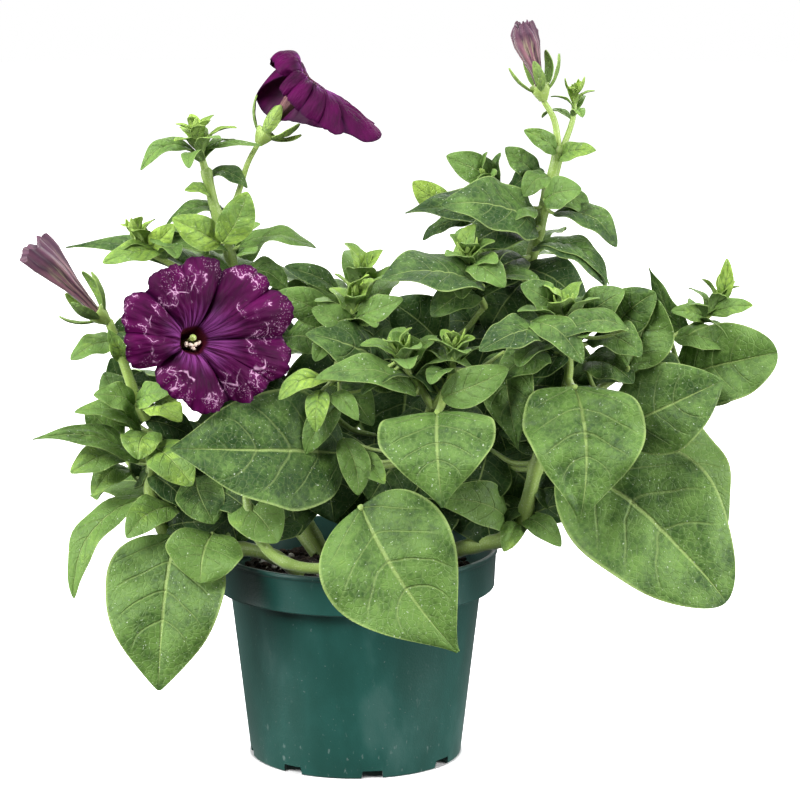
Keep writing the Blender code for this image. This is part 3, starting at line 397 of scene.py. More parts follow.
class Board:
    """The node tree of one material."""

    def __init__(self, name):
        self.material = bpy.data.materials.new(name)
        self.material.use_nodes = True
        self.tree = self.material.node_tree
        self.tree.nodes.clear()

    def node(self, kind, settings=None, sockets=None, out=0):
        """A node of a kind, its settings made first, then the values or links of its sockets."""
        made = self.tree.nodes.new("ShaderNode" + kind)
        for key, value in (settings or {}).items():
            setattr(made, key, value)
        for key, value in (sockets or {}).items():
            if isinstance(value, Wire):
                self.tree.links.new(value.socket, made.inputs[key])
            else:
                made.inputs[key].default_value = value
        return Wire(self, made.outputs[out])

    def attribute(self, name):
        """What Skin stored for each point under a name: along, across or tone."""
        return self.node("Attribute", {"attribute_name": name}, out="Fac")

    def place(self):
        """Where a point of the surface is, in metres."""
        return self.node("TexCoord", out="Object")

    def joined(self, x, y, z=0.0):
        """A place made of values of its own."""
        return self.node("CombineXYZ", {}, {"X": x, "Y": y, "Z": z})

    def noise(self, where, size, detail=2.0):
        """Cloudy values about 0.5, whose clouds are about this many units across."""
        return self.node("TexNoise", {}, {"Vector": where, "Scale": 1 / size, "Detail": detail})

    def mix(self, factor, first, second):
        """A blend of two colours."""
        rgba = [(*c, 1.0) if isinstance(c, tuple) else c for c in (first, second)]
        return self.node("Mix", {"data_type": "RGBA"}, {0: factor, 6: rgba[0], 7: rgba[1]}, out=2)

    def bump(self, height, distance, strength=1.0):
        """The normal of a surface with a fine relief, whose full height is a distance in metres."""
        return self.node("Bump", {}, {"Height": height, "Distance": distance, "Strength": strength})

    def finish(self, sockets, glow=None, share=0.0):
        """A Principled surface. glow is the colour of light that passes through, and share how much does."""
        surface = self.node("BsdfPrincipled", {}, sockets)
        if glow:
            through = self.node("BsdfTranslucent", {}, {"Color": (*glow, 1.0)})
            surface = self.node("MixShader", {}, {0: share, 1: surface, 2: through})
        output = self.tree.nodes.new("ShaderNodeOutputMaterial")
        self.tree.links.new(surface.socket, output.inputs["Surface"])
        return self.material


# ---------------------------------------------------------------- materials
def leaf_skin(name, dark, middle, young, vein, vein_show, gloss):
    """Downy leaf: mottled green by its tone, side veins that fade to the tip, a midrib and a pale margin."""
    b = Board(name)
    where = b.place()
    along, across, tone = b.attribute("along"), b.attribute("across"), b.attribute("tone")
    reach = abs(across * 2 - 1)
    clouds = b.noise(where, 0.011)
    fine = b.noise(where, 0.0016, 3.0)
    wander = (b.noise(where, 0.016, 1.0) - 0.5) * 0.07
    to_vein = ((along - (reach ** 1.3) * 0.26 + wander) * 5.5).folded(0.5)
    veined = (1 - reach.between(0.55, 0.95)) * (1 - along.between(0.60, 0.84))
    vein_line = (1 - to_vein.between(0.010, 0.060)) * veined
    # Painted shade: the sunken bands along the side veins are darkened.
    groove_shade = (1 - to_vein.between(0.0, 0.26)) * clouds.between(0.40, 0.60) * veined
    light = tone + (clouds - 0.5) * 0.75 + (fine - 0.5) * 0.45 - groove_shade * 0.13
    colour = b.mix(light.between(0.0, 0.5), dark, middle)
    colour = b.mix(light.between(0.5, 1.0), colour, young)
    midrib = 1 - (reach + along * 0.012).between(0.016, 0.05)
    net = 1 - b.node("TexVoronoi", {"feature": "DISTANCE_TO_EDGE"},
                     {"Vector": where, "Scale": 430}).between(0.0, 0.12)
    colour = b.mix(net * 0.10, colour, vein)
    colour = b.mix(vein_line * (vein_show * 0.42), colour, vein)
    colour = b.mix(midrib * vein_show, colour, vein)
    colour = b.mix(reach.between(0.94, 0.985) * 0.55, colour, vein)
    # Pale flecks: partly dust, partly painted glints on the leaf's hairs.
    specks = b.noise(where, 0.0008, 1.0).between(0.715, 0.77)
    colour = b.mix(specks * 0.6, colour, (0.62, 0.68, 0.55))

    height = (1 - vein_line) + (1 - midrib) * 1.2 + fine * 0.6 + (1 - net) * 0.35
    return b.finish({
        "Base Color": colour,
        "Roughness": gloss + (fine - 0.5) * 0.2,
        "Specular IOR Level": 0.28,
        "Sheen Weight": 0.05,
        "Sheen Roughness": 0.45,
        "Sheen Tint": (0.80, 0.95, 0.66, 1.0),
        "Normal": b.bump(height, 0.00040, 0.85),
    }, glow=(0.24, 0.46, 0.06), share=0.11)


def stem_skin():
    """Pale yellow-green, ribbed lengthways and downy."""
    b = Board("downy_stem")
    where = b.place()
    along, across, tone = b.attribute("along"), b.attribute("across"), b.attribute("tone")
    ribs = b.noise(b.joined(across * 9, along * 1.5), 0.4)
    down = b.noise(where, 0.0006, 1.0)
    light = tone + (ribs - 0.5) * 0.5 + (b.noise(where, 0.009) - 0.5) * 0.6
    colour = b.mix(light.between(0.1, 0.9), (0.130, 0.22, 0.045), (0.31, 0.44, 0.095))
    colour = b.mix(down.between(0.56, 0.70) * 0.35, colour, (0.58, 0.66, 0.42))
    return b.finish({
        "Base Color": colour,
        "Roughness": 0.5 + (ribs - 0.5) * 0.2,
        "Sheen Weight": 0.35,
        "Sheen Roughness": 0.4,
        "Normal": b.bump(ribs + down * 0.6, 0.0002, 0.6),
    }, glow=(0.30, 0.46, 0.08), share=0.10)


def down_skin():
    """The fine white down on stems and young growth."""
    b = Board("plant_down")
    colour = b.mix(b.noise(b.place(), 0.004), (0.42, 0.52, 0.30), (0.66, 0.72, 0.52))
    return b.finish({"Base Color": colour, "Roughness": 0.5}, glow=(0.55, 0.62, 0.42), share=0.35)


def petal_face(name, marked):
    """The front of an open flower: velvety purple round a dark throat. A marked one has thin pale loops."""
    b = Board(name)
    where = b.place()
    along, across = b.attribute("along"), b.attribute("across")
    limb = (along - TUBE_SHARE) * (1 / (1 - TUBE_SHARE))
    to_seam = (across * 5).folded(0.5)
    to_crease = 0.5 - to_seam
    streaks = b.noise(b.joined(across * 70, limb * 1.6), 1.0, 2.0)
    clouds = b.noise(where, 0.008, 3.0)
    veins = b.noise(b.joined(across * 150, limb * 4), 1.0, 2.0)
    # Darker beside the seams: painted shade where the limb folds.
    light = clouds * 0.7 + veins * 0.35 + (to_seam - 0.25) * 0.3 + limb * 0.25
    colour = b.mix(light.between(0.36, 1.02), (0.018, 0.0003, 0.013), (0.090, 0.0010, 0.060))
    # Painted shade: thin dark lines along the seams and the creases down the middle of the lobes.
    creases = (1 - to_seam.between(0.0, 0.035)) + (1 - to_crease.between(0.0, 0.020)) * 0.6
    colour = b.mix(creases * limb.between(0.0, 0.2) * 0.7, colour, (0.016, 0.0004, 0.018))
    near_throat = limb.between(0.02, 0.09) * (1 - limb.between(0.12, 0.50))
    colour = b.mix(near_throat * streaks.between(0.36, 0.62) * 0.75, colour, (0.270, 0.055, 0.270))
    if marked:
        curls = b.noise(where, 0.0085, 1.5)
        arcs = limb - 0.64 - (b.noise(where, 0.012, 1.0) - 0.5) * 0.7
        outer = limb.between(0.40, 0.52)
        here = b.noise(where, 0.0080, 1.0).between(0.49, 0.55)
        there = b.noise(where, 0.0105, 1.0).between(0.50, 0.57)
        wisps = b.noise(where, 0.0014, 2.0).between(0.36, 0.56)
        curl = (1 - abs(curls - 0.5).between(0.003, 0.013)) * here * outer
        arc = (1 - abs(arcs).between(0.004, 0.016)) * there
        halo = (1 - abs(curls - 0.5).between(0.02, 0.09)) * here * outer
        speckled = halo + there * limb.between(0.5, 0.8) * 0.7
        specks = b.noise(where, 0.00062, 1.0).between(0.60, 0.68) * speckled
        colour = b.mix(halo * 0.20, colour, (0.22, 0.05, 0.18))
        white = ((curl + arc) * (wisps * 0.75 + 0.25) + specks * 0.7).math("MINIMUM", 1.0)
        colour = b.mix(white * 0.85, colour, (0.66, 0.36, 0.58))
    colour = b.mix(1 - limb.between(0.0, 0.08), colour, (0.070, 0.006, 0.014))
    inner = 1 - along.between(TUBE_SHARE - 0.10, TUBE_SHARE)
    colour = b.mix(inner, colour, (0.120, 0.034, 0.020))
    colour = b.mix(along.between(0.965, 0.995) * 0.6, colour, (0.020, 0.0004, 0.020))
    return b.finish({
        "Base Color": colour,
        "Roughness": 0.60 + (clouds - 0.5) * 0.2,
        "Specular IOR Level": 0.10,
        "Normal": b.bump(streaks * 0.6 + veins * 0.9 + clouds + creases * -0.5, 0.0008, 0.8),
    }, glow=(0.30, 0.004, 0.22), share=0.14)


def petal_back():
    """The outside of an open flower: a dusky veined tube that turns purple over the lobes."""
    b = Board("petal_back")
    where = b.place()
    along, across = b.attribute("along"), b.attribute("across")
    veins = b.noise(b.joined(across * 90, along * 2), 1.0, 3.0)
    clouds = b.noise(where, 0.010, 3.0)
    tube_colour = b.mix(veins.between(0.40, 0.62), (0.23, 0.120, 0.115), (0.075, 0.020, 0.038))
    light = (clouds * 0.6 + veins * 0.4).between(0.36, 0.66)
    lobe_colour = b.mix(light, (0.030, 0.0010, 0.022), (0.098, 0.003, 0.066))
    colour = b.mix(along.between(TUBE_SHARE - 0.06, TUBE_SHARE + 0.12), tube_colour, lobe_colour)
    colour = b.mix(along.between(0.955, 0.995) * 0.7, colour, (0.020, 0.0006, 0.020))
    return b.finish({
        "Base Color": colour,
        "Roughness": 0.6 + (clouds - 0.5) * 0.2,
        "Specular IOR Level": 0.15,
        "Normal": b.bump(veins + clouds * 0.7, 0.0006, 0.7),
    }, glow=(0.30, 0.004, 0.20), share=0.12)


def wilted_petal():
    """A furled flower: dusky pink with pale veins and painted shade in its folds, darker at its ragged end.
    """
    b = Board("wilted_petal")
    where = b.place()
    along, across = b.attribute("along"), b.attribute("across")
    pleats = (across * 10 + along * 1.2).folded(0.5)
    veins = b.noise(b.joined(across * 40, along * 2.5), 1.0, 3.0)
    clouds = b.noise(where, 0.004, 3.0)
    # Painted shade: dark stripes along the folds of the pleats.
    colour = b.mix(pleats.between(0.06, 0.36), (0.040, 0.007, 0.024), (0.25, 0.105, 0.135))
    colour = b.mix(veins.between(0.54, 0.66) * 0.7, colour, (0.42, 0.36, 0.22))
    colour = b.mix(clouds.between(0.45, 0.7) * 0.5, colour, (0.16, 0.035, 0.11))
    colour = b.mix(along.between(0.42, 0.90) * 0.85, colour, (0.050, 0.006, 0.034))
    return b.finish({
        "Base Color": colour,
        "Roughness": 0.68 + (clouds - 0.5) * 0.2,
        "Sheen Weight": 0.3,
        "Normal": b.bump(pleats * 2 + veins, 0.0005, 0.8),
    }, glow=(0.40, 0.14, 0.26), share=0.08)


def pollen_skin():
    """Stigma and anthers: cream with a yellow-green cast, grainy."""
    b = Board("pistil_and_anthers")
    grain = b.noise(b.place(), 0.0005, 2.0)
    tone = b.attribute("tone")
    colour = b.mix(tone, (0.30, 0.42, 0.06), (0.66, 0.52, 0.44))
    colour = b.mix(grain.between(0.45, 0.65) * 0.5, colour, (0.80, 0.76, 0.55))
    return b.finish({"Base Color": colour, "Roughness": 0.7, "Normal": b.bump(grain, 0.0002, 0.8)})


def pot_plastic():
    """Thin moulded teal-green plastic, satin, dusty and scuffed towards its foot."""
    b = Board("pot_plastic")
    where = b.place()
    height = b.node("SeparateXYZ", {}, {"Vector": where}, out="Z")
    stretched = b.node("VectorMath", {"operation": "MULTIPLY"}, {0: where, 1: (1.0, 1.0, 0.45)})
    dust = b.noise(stretched, 0.016, 4.0)
    grain = b.noise(where, 0.0009, 2.0)
    rings = b.noise(b.joined(0.0, 0.0, height), 0.0022, 2.0)
    foot = 1 - height.between(0.002, 0.030)
    scuffs = b.noise(stretched, 0.0021, 3.0).between(0.66, 0.72) * (foot * 0.75 + 0.25)
    dots = b.noise(where, 0.0011, 1.0).between(0.74, 0.78)
    colour = b.mix(dust.between(0.36, 0.68), (0.0045, 0.054, 0.042), (0.0080, 0.074, 0.060))
    colour = b.mix(dust.between(0.54, 0.74) * 0.30, colour, (0.070, 0.140, 0.125))
    colour = b.mix(scuffs * 0.45, colour, (0.16, 0.23, 0.21))
    colour = b.mix(dots * 0.30, colour, (0.25, 0.30, 0.28))
    return b.finish({
        "Base Color": colour,
        "Roughness": 0.36 + dust * 0.16 + scuffs * 0.2,
        "Sheen Weight": 0.30,
        "Sheen Roughness": 0.40,
        "Normal": b.bump(dust * 0.6 + grain * 0.25 + rings * 0.10, 0.0004, 0.5),
    })


def peat_skin():
    """Dark damp potting mix."""
    b = Board("potting_mix")
    where = b.place()
    lumps = b.noise(where, 0.005, 4.0)
    grain = b.noise(where, 0.0011, 3.0)
    colour = b.mix(lumps.between(0.35, 0.7), (0.010, 0.006, 0.004), (0.050, 0.030, 0.018))
    colour = b.mix(grain.between(0.58, 0.7) * 0.6, colour, (0.11, 0.07, 0.04))
    return b.finish({"Base Color": colour, "Roughness": 0.92, "Normal": b.bump(lumps + grain, 0.001, 1.0)})


def perlite_skin():
    """White grains in the potting mix."""
    b = Board("perlite")
    grain = b.noise(b.place(), 0.0008, 3.0)
    colour = b.mix(grain.between(0.4, 0.65), (0.42, 0.40, 0.34), (0.75, 0.73, 0.68))
    return b.finish({"Base Color": colour, "Roughness": 0.9, "Normal": b.bump(grain, 0.0004, 1.0)})


LEAF_FACE = leaf_skin("leaf_face", (0.010, 0.040, 0.004), (0.112, 0.212, 0.041), (0.30, 0.46, 0.062),
                      (0.31, 0.42, 0.13), 0.62, 0.56)
LEAF_UNDER = leaf_skin("leaf_under", (0.045, 0.100, 0.024), (0.150, 0.250, 0.068), (0.30, 0.44, 0.09),
                       (0.31, 0.42, 0.17), 0.85, 0.66)
STEM_SKIN = stem_skin()
DOWN = down_skin()
PLANT_SKINS = [LEAF_FACE, LEAF_UNDER, STEM_SKIN, DOWN]
PETAL_FACES = {
    "flower_front": petal_face("petal_face", True),
    "flower_side": petal_face("plain_petal_face", False),
}
PETAL_BACK = petal_back()
WILTED_PETAL = wilted_petal()


# ---------------------------------------------------------------- gathering geometry
class Skin:
    """Points, faces and what the materials read of them, gathered for one object."""

    def __init__(self):
        self.points, self.values, self.faces, self.finishes = [], [], [], []
        self.count = 0

    def add(self, points, along, across, tone, faces, finish):
        """Points of one surface, its faces by number, and the material that they take."""
        flat = points.reshape(-1, 3)
        values = [np.broadcast_to(v, points.shape[:-1]).reshape(-1) for v in (along, across, tone)]
        self.points.append(flat)
        self.values.append(np.stack(values, axis=1))
        self.faces += [tuple(i + self.count for i in face) for face in faces]
        self.finishes += [finish] * len(faces) if isinstance(finish, int) else finish
        self.count += len(flat)

    def piece(self, name, materials, node=None, sharp=50):
        """The object, in the scene, on the plant's body, standing for its CAD node."""
        mesh = bpy.data.meshes.new(name)
        mesh.from_pydata(np.concatenate(self.points).tolist(), [], self.faces)
        mesh.polygons.foreach_set("material_index", self.finishes)
        values = np.concatenate(self.values)
        for i, key in enumerate(("along", "across", "tone")):
            mesh.attributes.new(key, "FLOAT", "POINT").data.foreach_set("value", values[:, i].copy())
        for material in materials:
            mesh.materials.append(material)
        mesh.shade_smooth()
        mesh.set_sharp_from_angle(angle=math.radians(sharp))
        obj = bpy.data.objects.new(name, mesh)
        bpy.context.scene.collection.objects.link(obj)
        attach(obj, "root")
        if node:
            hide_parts(node)
        return obj


def unit(vectors):
    """Vectors of length 1 that point the same way."""
    vectors = np.asarray(vectors, float)
    return vectors / np.maximum(np.linalg.norm(vectors, axis=-1, keepdims=True), 1e-12)


def grid_faces(rows, columns, wrap=False):
    """Quads between rows and columns of points, facing along (next column) x (next row)."""
    faces = []
    for i in range(rows - 1):
        for j in range(columns if wrap else columns - 1):
            k = (j + 1) % columns
            faces.append((i * columns + j, i * columns + k, (i + 1) * columns + k, (i + 1) * columns + j))
    return faces


def border(rows, columns):
    """The numbers of a grid's outer points, in order round it."""
    loop = list(range(columns))
    loop += [i * columns + columns - 1 for i in range(1, rows)]
    loop += [(rows - 1) * columns + j for j in range(columns - 2, -1, -1)]
    loop += [i * columns for i in range(rows - 2, 0, -1)]
    return loop


def add_sheet(skin, grid, thickness, along, across, tone, wrap=False, finishes=(0, 1)):
    """A thin closed sheet on a grid of points: upper side, under side and the rim between them."""
    rows, columns = grid.shape[:2]
    if wrap:
        step_across = np.roll(grid, -1, axis=1) - np.roll(grid, 1, axis=1)
    else:
        step_across = np.gradient(grid, axis=1)
    normal = unit(np.cross(step_across, np.gradient(grid, axis=0)))
    half = np.broadcast_to(thickness, grid.shape[:2])[..., None] * MM / 2
    both = np.stack([grid + normal * half, grid - normal * half])
    upper = grid_faces(rows, columns, wrap)
    layer = rows * columns
    under = [tuple(i + layer for i in reversed(face)) for face in upper]
    if wrap:
        ends = [[(j + 1) % columns, j] for j in range(columns)]
        ends += [[layer - columns + j, layer - columns + (j + 1) % columns] for j in range(columns)]
    else:
        loop = border(rows, columns)
        ends = [[b, a] for a, b in zip(loop, [*loop[1:], loop[0]])]
    rim = [(a, b, b + layer, a + layer) for a, b in ends]
    values = [np.broadcast_to(v, grid.shape[:2])[None].repeat(2, axis=0) for v in (along, across, tone)]
    kinds = [finishes[0]] * len(upper) + [finishes[1]] * len(under) + [finishes[0]] * len(rim)
    skin.add(both, *values, upper + under + rim, kinds)


# ---------------------------------------------------------------- leaves
def outline(u, base, point):
    """Half width of a leaf at u along it, as a share of the widest.

    A base under 1 moves the widest part towards the stalk. A point of 0.5 leaves the tip round, and 1.4
    draws it out.
    """
    power = 0.62 + (point - 0.62) * u
    return np.maximum(np.sin(np.pi * u**base), 0.0) ** power + 0.05 * (1 - u) + 0.03 * u


def waves(u, v, count, rough):
    """A gentle relief over a blade, from a few crossing waves."""
    relief = 0
    for _ in range(count):
        a, b = rng.uniform(-rough, rough, 2)
        relief = relief + np.sin(FULL_TURN * (a * u + b * v + rng.uniform()))
    return relief / count


def blade(skin, start, tip, width, face, arch, tone, steps=(16, 8), fold=0.22, cup=0.12,
          thickness=LEAF_THICKNESS, base=0.64, point=1.25, ruffle=0.05, pucker=0.6, bend=0.0, twist=0.0):
    """One leaf as a thin closed sheet.

    arch is how far its middle rises and bend how far it sways sideways, as shares of its length. fold is how
    far its halves rise from the midrib in radians, cup how far its edges turn down, ruffle how far they wave,
    and pucker the height of the swellings between its veins in millimetres.
    """
    rows, columns = steps[0] + 1, steps[1] + 1
    u = (0.5 - 0.5 * np.cos(np.pi * np.linspace(0, 1, rows) ** 0.95))[:, None] * np.ones((1, columns))
    v = np.linspace(0, 1, columns)[None, :] * np.ones((rows, 1))
    start, tip = np.array(start) * MM, np.array(tip) * MM
    axis = tip - start
    length = np.linalg.norm(axis)
    forward = axis / length
    face = np.array(face, float)
    upper = unit(face - forward * face.dot(forward))
    side = np.cross(forward, upper)
    slope = unit(forward + upper * (arch * 4 * (1 - 2 * u))[..., None])
    turn = (twist * (u - 0.2))[..., None]
    across = side * np.cos(turn) + np.cross(side, slope) * np.sin(turn)
    normal = unit(np.cross(across, slope))
    half = width * MM / 2 * outline(u, base, point)
    reach = 2 * v - 1
    wave = np.sin(FULL_TURN * (u * rng.uniform(1.6, 2.6) + np.where(reach < 0, *rng.uniform(0, 1, 2))))
    to_vein = np.abs((u - 0.22 * np.abs(reach) ** 1.3) * 7.5 % 1.0 - 0.5) * 2
    quilted = (1 - to_vein**2) * (1 - reach**4) * np.sin(np.pi * np.clip(u * 1.25, 0, 1))
    rise = half * (np.abs(reach) * np.sin(fold) - cup * reach**2 + ruffle * wave * reach**2)
    rise = rise - pucker * MM * 0.5 * np.exp(-((reach / 0.08) ** 2)) * (1 - u)
    rise = rise + pucker * MM * (0.55 * quilted + 0.9 * waves(u, v, 5, 2.4) * np.sin(np.pi * u) ** 0.5)
    spine = start + axis * u[..., None] + upper * (arch * length * 4 * u * (1 - u))[..., None]
    spine = spine + side * (bend * length * 4 * u * (1 - u))[..., None]
    grid = spine + across * (half * reach * np.cos(fold))[..., None] + normal * rise[..., None]
    thin = thickness * (1 - 0.6 * reach**2)
    add_sheet(skin, grid, thin, u, v, tone + rng.uniform(-0.05, 0.05))
    return grid


# ---------------------------------------------------------------- tubes
def smooth_route(points, steps):
    """Points along a smooth curve through the route's own points (Catmull-Rom)."""
    points = np.asarray(points, float)
    ends = np.concatenate([[2 * points[0] - points[1]], points, [2 * points[-1] - points[-2]]])
    t = np.linspace(0, 1, steps, endpoint=False)[:, None]
    parts = []
    for a, b, c, d in zip(ends, ends[1:], ends[2:], ends[3:]):
        bend = (2 * a - 5 * b + 4 * c - d) * t**2 + (3 * b - a - 3 * c + d) * t**3
        parts.append(0.5 * (2 * b + (c - a) * t + bend))
    return np.concatenate([*parts, points[-1:]])


def rings_along(route):
    """Two directions square to a route at each of its points, carried along without twisting."""
    ahead = unit(np.gradient(route, axis=0))
    first = unit(np.cross(ahead[0], (0.0, 1.0, 0.3)))
    firsts = []
    for way in ahead:
        first = unit(first - way * first.dot(way))
        firsts.append(first)
    firsts = np.array(firsts)
    return firsts, np.cross(ahead, firsts)


def add_tube(skin, route, radii, tone, finish=STEM, sides=10, section=None, round_tip=True):
    """A closed round tube along a route in metres. section scales its radius at (row, turn)."""
    route, radii = np.asarray(route), np.asarray(radii, float)
    firsts, seconds = rings_along(route)
    turns = np.linspace(0, FULL_TURN, sides, endpoint=False)
    shape = np.ones((len(route), sides)) if section is None else section
    if round_tip:
        ahead = unit(route[-1] - route[-2])
        for share in (0.35, 0.75):
            route = np.concatenate([route, [route[-1] + ahead * radii[-1] * MM * 0.45]])
            radii = np.append(radii, radii[-1] * (1 - share))
            firsts, seconds = (np.concatenate([x, x[-1:]]) for x in (firsts, seconds))
            shape = np.concatenate([shape, shape[-1:]])
    size = (radii[:, None] * shape * MM)[..., None]
    ring = firsts[:, None] * np.cos(turns)[None, :, None] + seconds[:, None] * np.sin(turns)[None, :, None]
    rows = len(route)
    points = np.concatenate([(route[:, None] + ring * size).reshape(-1, 3), route[:1], route[-1:]])
    along = np.concatenate([np.repeat(np.linspace(0, 1, rows), sides), [0, 1]])
    across = np.concatenate([np.tile(turns / FULL_TURN, rows), [0, 0]])
    faces = grid_faces(rows, sides, wrap=True)
    foot, head = rows * sides, rows * sides + 1
    last = (rows - 1) * sides
    faces += [(foot, (j + 1) % sides, j) for j in range(sides)]
    faces += [(head, last + j, last + (j + 1) % sides) for j in range(sides)]
    skin.add(points, along, across, np.full(len(points), tone), faces, finish)
    return route, firsts, seconds, radii


def add_down(skin, tube, count, length):
    """Short fine hairs standing out of a tube."""
    route, firsts, seconds, radii = tube
    for _ in range(count):
        at = rng.uniform(0, len(route) - 3)
        i, share = int(at), at % 1
        middle = route[i] * (1 - share) + route[i + 1] * share
        turn = rng.uniform(0, FULL_TURN)
        out = firsts[i] * math.cos(turn) + seconds[i] * math.sin(turn)
        foot = middle + out * radii[i] * MM * 0.9
        tip = foot + unit(out + rng.normal(0, 0.25, 3)) * rng.uniform(0.5, 1.0) * length * MM
        level = unit(np.cross(out, route[i + 1] - route[i])) * HAIR_RADIUS * MM
        raised = np.cross(level, unit(tip - foot)) * 0.87
        points = np.array([foot + level, foot - level * 0.5 + raised, foot - level * 0.5 - raised, tip])
        skin.add(points, 0.5, 0.5, 0.8, [(0, 1, 3), (1, 2, 3), (2, 0, 3), (2, 1, 0)], HAIR)


def stem(name, radius, route):
    """A main stem or flower stalk, swollen where leaves leave it."""
    skin = Skin()
    path = smooth_route(route, 6) * MM
    run = np.concatenate([[0], np.cumsum(np.linalg.norm(np.diff(path, axis=0), axis=1))]) / MM
    swell = np.zeros(len(run))
    stout = name.startswith("stem")
    if stout:
        for joint in np.arange(14 + rng.uniform(0, 6), run[-1], JOINT_SPACING):
            swell += 0.22 * np.exp(-(((run - joint) / 2.2) ** 2))
    radii = radius * (1 + swell) * (1 - 0.22 * run / run[-1])
    sides = 14
    ribbed = 1 + 0.035 * np.sin(5 * np.arange(sides) * FULL_TURN / sides)
    section = ribbed[None, :] * np.ones((len(path), 1))
    tube = add_tube(skin, path, radii, 0.55 if stout else 0.85, sides=sides, section=section)
    add_down(skin, tube, int(run[-1] * 2.2), 1.1)
    return skin.piece(name, PLANT_SKINS, name)


# ---------------------------------------------------------------- what the leaves grow on
STEM_ROUTES = [route for _, _, route in STEMS] + [route for _, route, *_ in SHOOTS]
BARK = np.concatenate([smooth_route(route, 6) for route in STEM_ROUTES])


def petiole(skin, start, width, tone):
    """The short stalk between a leaf's blade and the nearest stem."""
    start = np.array(start, float)
    nearest = BARK[np.argmin(np.linalg.norm(BARK - start, axis=1))]
    gap = np.linalg.norm(nearest - start)
    if gap < 0.5:
        return
    sag = np.array([0, 0, -0.12 * gap])
    route = smooth_route([nearest, (nearest + start) / 2 + sag, start], 4) * MM
    size = min(0.5 + width * 0.024, 1.7)
    add_tube(skin, route, np.linspace(size * 1.15, size * 0.8, len(route)), tone, sides=8)


def large_leaf(name, start, tip, width, face, arch, tone):
    """A large leaf in the place of its CAD node, which says how far back its two ends lie."""
    corners = np.array([v.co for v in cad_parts[name].data.vertices]) / MM
    ends = []
    for x, z in (start, tip):
        near = np.argsort((corners[:, 0] - x) ** 2 + (corners[:, 2] - z) ** 2)[:6]
        ends.append((x, corners[near, 1].mean(), z))
    skin = Skin()
    sway, twist = rng.uniform(-0.03, 0.03), rng.uniform(-0.12, 0.12)
    shape = {"pucker": 1.2, "ruffle": 0.08, "bend": sway, "twist": twist, **LEAF_SHAPES.get(name, {})}
    blade(skin, *ends, width, face, arch, tone, steps=(52, 24), thickness=LARGE_LEAF_THICKNESS,
          **shape)
    petiole(skin, ends[0], width, 0.7)
    return skin.piece(name, PLANT_SKINS, name)


def small_leaves(name, leaves):
    """The smaller leaves of one part of the plant, with their stalks."""
    skin = Skin()
    for start, tip, width, face, arch, tone in leaves:
        blade(skin, start, tip, width, face, arch, tone, steps=(28, 12), pucker=0.8, point=0.68,
              bend=rng.uniform(-0.07, 0.07), twist=rng.uniform(-0.35, 0.35), ruffle=0.12, base=0.86)
        petiole(skin, start, width, 0.5 + tone * 0.4)
    return skin.piece(name, PLANT_SKINS)


def inner_leaves():
    """The leaves close to the stems that fill the middle of the plant, darkened with painted shade."""
    skin = Skin()
    _, depth, height = BARK.T
    stretch = BARK[(height > INNER_LOW) & (height < INNER_HIGH) & (depth < INNER_BACK)]
    ends = INNER_TIPS
    for i, foot in enumerate(stretch[::2]):
        turn = math.radians(GOLDEN_ANGLE * i)
        way = np.array([math.cos(turn), math.sin(turn) * 0.8, rng.uniform(-0.7, 0.25)])
        length = rng.uniform(18, 30)
        tip = foot + unit(way) * length
        across = ends["left"] < tip[0] < ends["right"]
        if not (across and ends["front"] < tip[1] < ends["back"] and tip[2] > ends["low"]):
            continue
        face = (0.3 * way[0], -0.9, 0.7) if tip[1] < 6 else (0.3 * way[0], 0.7, 0.8)
        # A low tone darkens each one: painted shade.
        blade(skin, foot, tip, length * rng.uniform(0.55, 0.75), face, 0.16, rng.uniform(-0.08, 0.16),
              steps=(22, 10), pucker=0.8, base=0.85, point=0.7, ruffle=0.1, twist=rng.uniform(-0.4, 0.4))
    # Darker still: painted shade between the stems.
    for start, tip in SHADED_LEAVES:
        blade(skin, start, tip, 36, (rng.uniform(-0.3, 0.3), -1.0, 0.35), 0.08, rng.uniform(-0.10, 0.06),
              steps=(30, 14), pucker=1.0, base=0.75, point=0.9, ruffle=0.1)
        petiole(skin, start, 30, 0.3)
    return skin.piece("leaves_inner", PLANT_SKINS)


# ---------------------------------------------------------------- shoots and calyces
def frame_along(direction):
    """Two directions square to a direction, the first as level as it can be."""
    level = unit(np.cross(direction, (0, 0, 1)))
    return level, np.cross(direction, level)


def turned_aside(direction, turn):
    """The way that points square to a direction, turned about it by an angle in degrees."""
    first, second = frame_along(direction)
    return first * math.cos(math.radians(turn)) + second * math.sin(math.radians(turn))


def whorl_blade(skin, foot, direction, turn, lean, length, width, arch, tone, **shape):
    """A small leaf that grows from foot, turned about direction and leaning away from it."""
    outward = turned_aside(direction, turn)
    heading = direction * math.cos(math.radians(lean)) + outward * math.sin(math.radians(lean))
    face = direction * math.sin(math.radians(lean)) - outward * math.cos(math.radians(lean))
    return blade(skin, foot, foot + heading * length, width, face, arch, tone, **shape)


